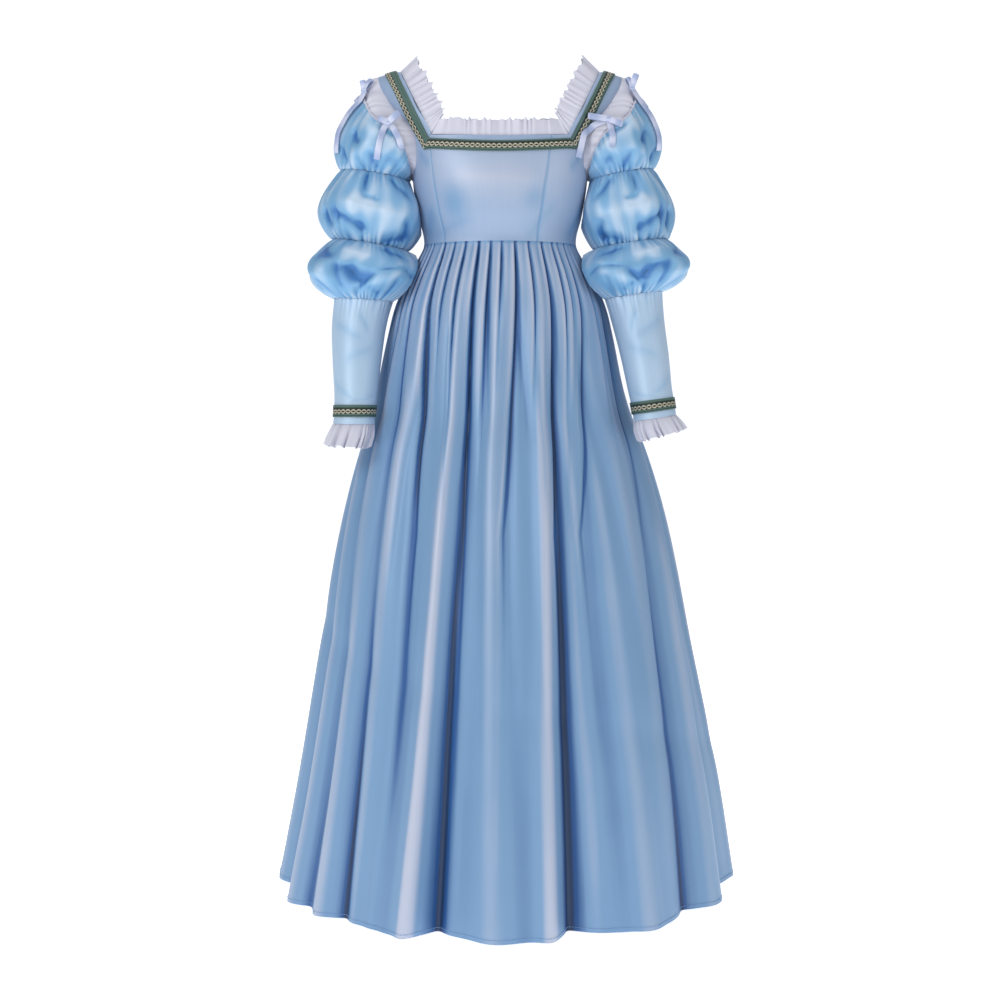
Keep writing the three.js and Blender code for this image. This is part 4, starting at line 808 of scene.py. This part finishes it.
def ring_point(ring, side, around, swell=0.0):
    """Points round a sleeve, in degrees from its outer side over the front."""
    outer, inner, middle, depth, outer_height, inner_height = ring[:6]
    cos, sin = np.cos(np.radians(around)), np.sin(np.radians(around))
    x = side * ((outer + inner) / 2 + ((outer - inner) / 2 + swell) * cos)
    height = inner_height + (outer_height - inner_height) * (1 + cos) / 2
    return np.stack([x, middle - (depth + swell) * sin, height], -1)


def ring_at(rings, down, side, around, swell=0.0):
    """Points on a sleeve at any way down between its rings."""
    return ring_point([read_table(rings, column, down) for column in range(1, 7)], side, around[None], swell)


def clear_of_body(points):
    """Where the bodice or the skirt would be met, the sleeve is moved just clear of it."""
    x, y, z = np.moveaxis(points, -1, 0)
    height = np.minimum(-.060, z)
    clearance = np.where(height > WAIST, .004, .004 + .007 * np.clip((WAIST - height) / .06, 0, 1))
    depth = np.where(y < 0, read_table(FIGURE, 3, height), read_table(FIGURE, 4, height)) + clearance
    square = read_table(FIGURE, 5, height)
    share = np.clip(np.abs(y) / depth, 0, 1)
    reach = (read_table(FIGURE, 1, height) + clearance) * (1 - share ** square) ** (1 / square)
    return np.stack([np.where((np.abs(x) < reach) & (share < 1), np.sign(x) * reach, x), y, z], -1)


def puff_top_point(side, around):
    """Points round the top edge of the upper puff. The back is a little shallower than the front."""
    front = np.where(around <= 180, around, 360 - around)
    y = read_table(PUFF_TOP, 2, front) * np.where(around <= 180, 1, -.85)
    return np.stack([side * read_table(PUFF_TOP, 1, front), y, read_table(PUFF_TOP, 3, front)], -1)


def puckers(around, count, uneven, seed):
    """Gathers of uneven width round a seam, from -1 in the creases to 1 between them."""
    drift = np.sin(np.radians(around * 3 + seed)) + .7 * np.sin(np.radians(around * 8 - seed))
    phase = count * around / 360 + uneven * drift
    return 2 * np.abs(np.cos(np.pi * phase)) - 1.1 + .3 * np.cos(2 * np.pi * phase * .43 + seed)


def sleeve_piece(name, points, shade, material, thickness=.0010):
    """Makes and fixes a tube of cloth. The flip puts its outer face outwards on both sides."""
    points, shade = points[::-1, flip], shade[::-1, flip]
    piece = make_cloth(name, points, material, thickness=thickness, ring=True, fold=shade)
    wear(piece, [name], points)
    return points


around = np.linspace(0, 360, 181)
for side, side_name in ((-1, "left"), (1, "right")):
    flip = slice(None, None, -1 if side > 0 else 1)
    tops = [puff_top_point(side, around)] + [ring_point(ring, side, around) for ring in GATHERS[side]]
    for place, part in enumerate(("upper", "middle", "lower")):
        top, bottom, belly = tops[place], tops[place + 1], GATHERS[side][place][6]
        down = np.linspace(0, 1, 45)[:, None]
        axis = (top[:-1].mean(0) + bottom[:-1].mean(0)) / 2
        points = top[None] * (1 - down)[..., None] + bottom[None] * down[..., None]
        outwards = unit((points - axis) * np.array([1, 1, 0]))
        profile = np.maximum(0, np.sin(np.pi * down ** 1.15)) ** .75
        phase = place * 70
        lobes = 1 + .16 * np.cos(np.radians(around * 5 + phase)) + .1 * np.cos(np.radians(around * 3 - phase))
        drop = np.linalg.norm(top - bottom, axis=-1)[None]
        full = np.clip(drop / .07, 0, 1)
        seam = np.exp(-(down * drop / .010)) + np.exp(-((1 - down) * drop / .011))
        gather = puckers(around, 34 + 3 * place, .55, 40 * place + 20 * side)[None] * PUCKER_DEPTH * seam
        gather = gather * np.clip(down * 14, .3, 1)
        big = creases(around[None] + (6 if side > 0 else 0), down * 100, PUFF_CREASES[place], 360)
        big = big * np.clip(drop / .10, .25, 1)
        wrinkle = PUFF_WRINKLE * np.sin(np.radians(around * 13 + 300 * down + phase))
        wrinkle = wrinkle * np.sin(np.radians(around * 7 - 200 * down + 50))
        move = belly * profile * lobes[None] * full + (gather + big + wrinkle * profile) * full
        points = clear_of_body(points + outwards * move[..., None])
        shade = .60 + (gather * 95 + big * 70 + wrinkle * 150) * full
        name = f"puff_{part}_{side_name}"
        points = sleeve_piece(name, points, shade, satin_sleeve)

        if part == "upper":
            # A narrow folded band of lawn edges the puff where it leaves the inset.
            grid = points[::-1]
            lower = grid[0] + unit(grid[4] - grid[0]) * .005
            out = unit((grid[0] - grid[0].mean(0)) * np.array([1, 1, .6])) * .0016
            band = np.stack([lower + out * .8, (lower + grid[0]) / 2 + out * 1.3, grid[0] + out])
            edging = make_cloth(f"puff_edging_{side_name}", band, lawn, thickness=LAWN_THICKNESS, ring=True)
            wear(edging, [], band)

    # The forearm is one close tube of the same satin, with faint drag lines across the arm.
    rings = [(0, *GATHERS[side][2][:6])] + [(k + 1, *ring) for k, ring in enumerate(FOREARM[side])]
    down = np.linspace(0, 6, 64)[:, None]
    points = ring_at(rings, down, side, around)
    outwards = unit((points - points.mean(1, keepdims=True)) * np.array([1, 1, 0]))
    drag = creases(around[None], down * 17, FOREARM_CREASES, 360)
    gather = puckers(around, 30, .5, 70)[None] * FOREARM_GATHER * np.exp(-down / .35)
    move = drag * .7 + gather
    points = clear_of_body(points + outwards * move[..., None])
    forearm = f"forearm_{side_name}"
    sleeve_piece(forearm, points, .82 + move * 110, satin_sleeve)

    # The cuff trim is the same woven braid, sewn round the sleeve just above its end.
    points = clear_of_body(ring_at(rings, np.linspace(4.0, 4.96, 7)[:, None], side, around))[::-1, flip]
    points = points + grid_normals(points, True) * .0020
    lay_braid(f"cuff_trim_{side_name}", points, braid, ring=True)

    # The cuff ruffle is lawn gathered into the wrist, flaring and open below.
    fine = np.linspace(0, 360, 321)
    rings = [(k, *ring) for k, ring in enumerate([FOREARM[side][-1]] + CUFF_RUFFLE[side])]
    down = np.linspace(0, 2, 17)[:, None]
    sway = puckers(fine, 12, .5, 30 * side)[None]
    points = ring_at(rings, down, side, fine, sway * (.0004 + .0020 * down))
    points = points - np.array([0, 0, .0008]) + np.array([0, 0, .0010]) * (sway * down)[..., None]
    points = clear_of_body(points)
    shade = .62 + .2 * sway * (.5 + down / 2) - .25 * np.exp(-down / .25)
    sleeve_piece(f"cuff_ruffle_{side_name}", points, shade, lawn, LAWN_THICKNESS)

    # The inset is white lawn that fills the gap between the armhole and the top of the puff.
    edge = armhole_edges[side]
    turn = np.degrees(np.arctan2(-edge[:, 1], edge[:, 2] - ARMHOLE_MIDDLE)) % 360
    order = np.argsort(turn)
    wrapped = np.concatenate([turn[order] - 360, turn[order], turn[order] + 360])
    start = between(around, wrapped, np.tile(edge[order], (3, 1)))
    end = puff_top_point(side, around)
    gap = np.linalg.norm(end - start, axis=-1)
    down = np.linspace(-.0010, 1.0, 15)[:, None]
    turn = np.radians(around)
    outwards = unit(np.stack([side + 0 * turn, -np.sin(turn), np.cos(turn)], -1))
    swell = np.minimum(.009, np.maximum(0, gap - .014) * .4)[None] * np.sin(np.pi * np.clip(down, 0, 1))
    gather = puckers(around, 30, .5, 15)[None] * np.minimum(.0010, gap / 30)[None] * (.3 + .7 * down)
    points = start[None] * (1 - down)[..., None] + end[None] * down[..., None]
    points = points + outwards[None] * (swell + gather)[..., None]
    shade = .66 + gather * 250
    sleeve_piece(f"inset_{side_name}", points, shade, lawn, LAWN_THICKNESS)

# ---- bows ----
# Narrow satin ribbon, 10 mm wide, tied in a small bow at the top and at the front of each armhole.
# The ends hang loose and lie on the puff.
# Each bow: where the knot is, whether it faces out over the shoulder, how far each loop reaches across and up
# from the knot, and the stops of each tail, across and up from the knot.
BOWS = [
    ("bow_top_left", -.230, -.030, -.030, True, [(.013, .017), (-.003, .015)],
     [[(-.009, -.002), (-.018, -.005), (-.025, -.009)],
      [(-.008, -.018), (-.027, -.044), (-.040, -.078), (-.046, -.112)]]),
    ("bow_front_left", -.186, -.090, -.098, False, [(.019, .017), (-.016, .007)],
     [[(-.006, -.010), (-.012, -.030), (-.018, -.062)], [(.009, -.009), (.018, -.026), (.024, -.044)]]),
    ("bow_top_right", .222, -.030, -.028, True, [(.008, .020), (-.008, .014)],
     [[(.010, -.006), (.022, -.018), (.028, -.034)],
      [(.016, -.024), (.032, -.050), (.042, -.084), (.046, -.110)]]),
    ("bow_front_right", .180, -.090, -.092, False, [(-.034, .005), (.022, -.010)],
     [[(-.022, -.008), (-.040, -.024), (-.050, -.064)], [(.004, -.014), (.006, -.030), (.005, -.048)]]),
]
# The way round a loop: share of its reach, and height over the cloth.
LOOP = [(.20, .002), (.55, .002), (.88, .0025), (1, .0045), (.88, .0070), (.5, .0078), (.15, .0065)]
RIBBON_WIDTH = .010
ribbon_satin = satin("ribbon satin", (.60, .64, .80), (.38, .45, .66), (.12, .22, .45))


def facing_at(over, knot_x, x, height):
    """The way the ribbon faces: forwards, or out from the middle of the shoulder."""
    if not over:
        return Vector((0, -1, 0))
    return Vector((x - math.copysign(.205, knot_x), -.085, height + .120)).normalized()


def rise_at(targets, point, facing):
    """How far out the cloth under a point stands, along the way the ribbon faces."""
    best = -.08
    for across in (-.004, 0, .004):
        for up in (-.004, 0, .004):
            start = point + facing * .12 + Vector((across, 0, up))
            for target in targets:
                hit, place = target.ray_cast(start, -facing)[:2]
                if hit:
                    best = max(best, (place - start).dot(facing) + .12)
    return best


def ribbon(name, path, facings):
    """A strip of ribbon along a smoothed path, a little rounded across."""
    steps = np.arange(len(path))
    at = np.linspace(0, len(path) - 1, max(16, 8 * len(path)))
    line = np.stack([read_table(list(zip(steps, part)), 1, at) for part in path.T], -1)
    out = unit(between(at, steps, facings))
    along = np.gradient(line, axis=0)
    across = unit(np.cross(along, out))
    out = unit(np.cross(across, along))
    share = np.linspace(-.5, .5, 5)[:, None, None]
    points = line[None] + across[None] * share * RIBBON_WIDTH + out[None] * (.0006 * (1 - 4 * share ** 2))
    points = points[::-1]
    shade = np.broadcast_to(.62 + .25 * np.sin(at * 2.1)[None], points.shape[:2])
    return make_cloth(name, points, ribbon_satin, thickness=.0005, fold=shade), points


for name, knot_x, knot_y, knot_height, over, loops, tails in BOWS:
    side_name = name.split("_")[-1]
    # The cloth that the ribbon lies on. A piece that stands for a solid has its name with .001 at the end.
    targets = []
    for base in ("puff_upper_", "puff_middle_", "inset_", "neck_trim_", "bodice_front_side_"):
        target = bpy.data.objects[base + side_name]
        targets.append(bpy.data.objects.get(target.name + ".001", target) if target.hide_render else target)
    knot = Vector((knot_x, knot_y, knot_height))
    facing = facing_at(over, knot_x, knot_x, knot_height)
    knot_rise = rise_at(targets, knot, facing) + .0012
    centre = knot + facing * (knot_rise + .003)
    strips = []
    for place, (across, up) in enumerate(loops):
        path = [centre - facing * .001]
        for reach, lift in LOOP:
            point = knot + Vector((across * reach, 0, up * reach))
            path.append(point + facing * (max(knot_rise, rise_at(targets, point, facing) + .001) + lift))
        path.append(centre + facing * .002)
        strips.append((np.array(path), np.tile(np.array(facing), (len(path), 1))))
    for tail in tails:
        path, faces, before = [centre], [facing], (0, 0)
        for stop in tail:
            for share in (.5, 1):
                x = knot_x + before[0] + (stop[0] - before[0]) * share
                height = knot_height + before[1] + (stop[1] - before[1]) * share
                out = facing_at(over, knot_x, x, height)
                point = Vector((x, knot_y, height))
                path.append(point + out * (rise_at(targets, point, out) + .0016))
                faces.append(out)
            before = stop
        del path[1], faces[1]
        strips.append((np.array(path), np.array(faces)))
    # The knot is a short turn of the ribbon round the middle of the bow.
    turns = np.linspace(0, 2 * np.pi, 13)
    up = Vector((0, 0, 1)) - facing * facing.z
    up.normalize()
    knot_path = np.array([centre + up * (math.cos(t) * .0045) + facing * (math.sin(t) * .0036)
                          for t in turns])
    knot_faces = np.array([up * math.cos(t) + facing * math.sin(t) for t in turns])
    made, total, length = [], 0, 0
    for place, (path, faces) in enumerate(strips + [(knot_path, knot_faces)]):
        strip, points = ribbon(f"{name}_{place}", path, faces)
        width, _, area = measure(points)
        made.append(strip)
        total, length = total + area, length + width
    bpy.ops.object.select_all(action="DESELECT")
    for strip in made:
        strip.select_set(True)
    bpy.context.view_layer.objects.active = made[0]
    bpy.ops.object.join()
    bow = bpy.context.object
    bow.name = bow.data.name = name + "_ribbon"
    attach(bow, "root")
    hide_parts(name)
    across = RIBBON_WIDTH + .0002
    min(total, length * across)

# ---- floor ----
# A pale plain floor under the hem, for the picture only.
material, tree, shader = new_material("floor")[:3]
shader.inputs["Base Color"].default_value = (.96, .96, .96, 1)
shader.inputs["Emission Color"].default_value = (1, 1, 1, 1)
shader.inputs["Emission Strength"].default_value = .85
shader.inputs["Roughness"].default_value = .9
bpy.ops.mesh.primitive_plane_add(size=16, location=(0, 0, HEM - .0025))
floor = bpy.context.object
floor.name = floor.data.name = "floor"
floor.data.materials.append(material)

# ---- light ----
# Soft light from four large panels: a strong one from the upper left, weaker ones from the right, from above
# and from behind. Each has its place, size, power and the point it is aimed at.
for name, place, size, power, aim in (
        ("key light", (-2.2, -2.9, 1.1), 1.2, 45, (0, 0, -.5)),
        ("side light", (2.6, -2.2, .4), 1.4, 12, (0, 0, -.7)),
        ("top light", (0, -.6, 2.4), 2.2, 22, (0, 0, -.5)),
        ("back light", (0, 2.4, 1.4), 2.0, 18, (0, 0, -.5))):
    bpy.ops.object.light_add(type="AREA", location=place)
    light = bpy.context.object
    light.name = light.data.name = name
    light.data.size = size
    light.data.energy = power
    light.rotation_euler = (Vector(aim) - Vector(place)).to_track_quat("-Z", "Y").to_euler()
world = bpy.data.worlds.new("studio")
world.use_nodes = True
world.node_tree.nodes["Background"].inputs["Color"].default_value = (.93, .95, 1, 1)
# The room lights the cloth softly, and looks white to the camera.
ROOM_LIGHT, ROOM_WHITE = .33, .80
seen = world.node_tree.nodes.new("ShaderNodeLightPath")
strength = world.node_tree.nodes.new("ShaderNodeMath")
strength.operation = "MULTIPLY_ADD"
strength.inputs[1].default_value = ROOM_WHITE
strength.inputs[2].default_value = ROOM_LIGHT
world.node_tree.links.new(seen.outputs["Is Camera Ray"], strength.inputs[0])
world.node_tree.links.new(strength.outputs[0], world.node_tree.nodes["Background"].inputs["Strength"])
bpy.context.scene.world = world
bpy.context.scene.view_settings.view_transform = "Standard"

# ---- camera ----
# Level with the hips, nearly three metres in front, its frame shifted down a little.
bpy.ops.object.camera_add(location=(0, -2.95, -.5576), rotation=(math.pi / 2, 0, 0))
camera = bpy.context.object
camera.name = "camera"
camera.data.sensor_width = 36
camera.data.lens = 62.47
camera.data.shift_y = -.1
bpy.context.scene.camera = camera
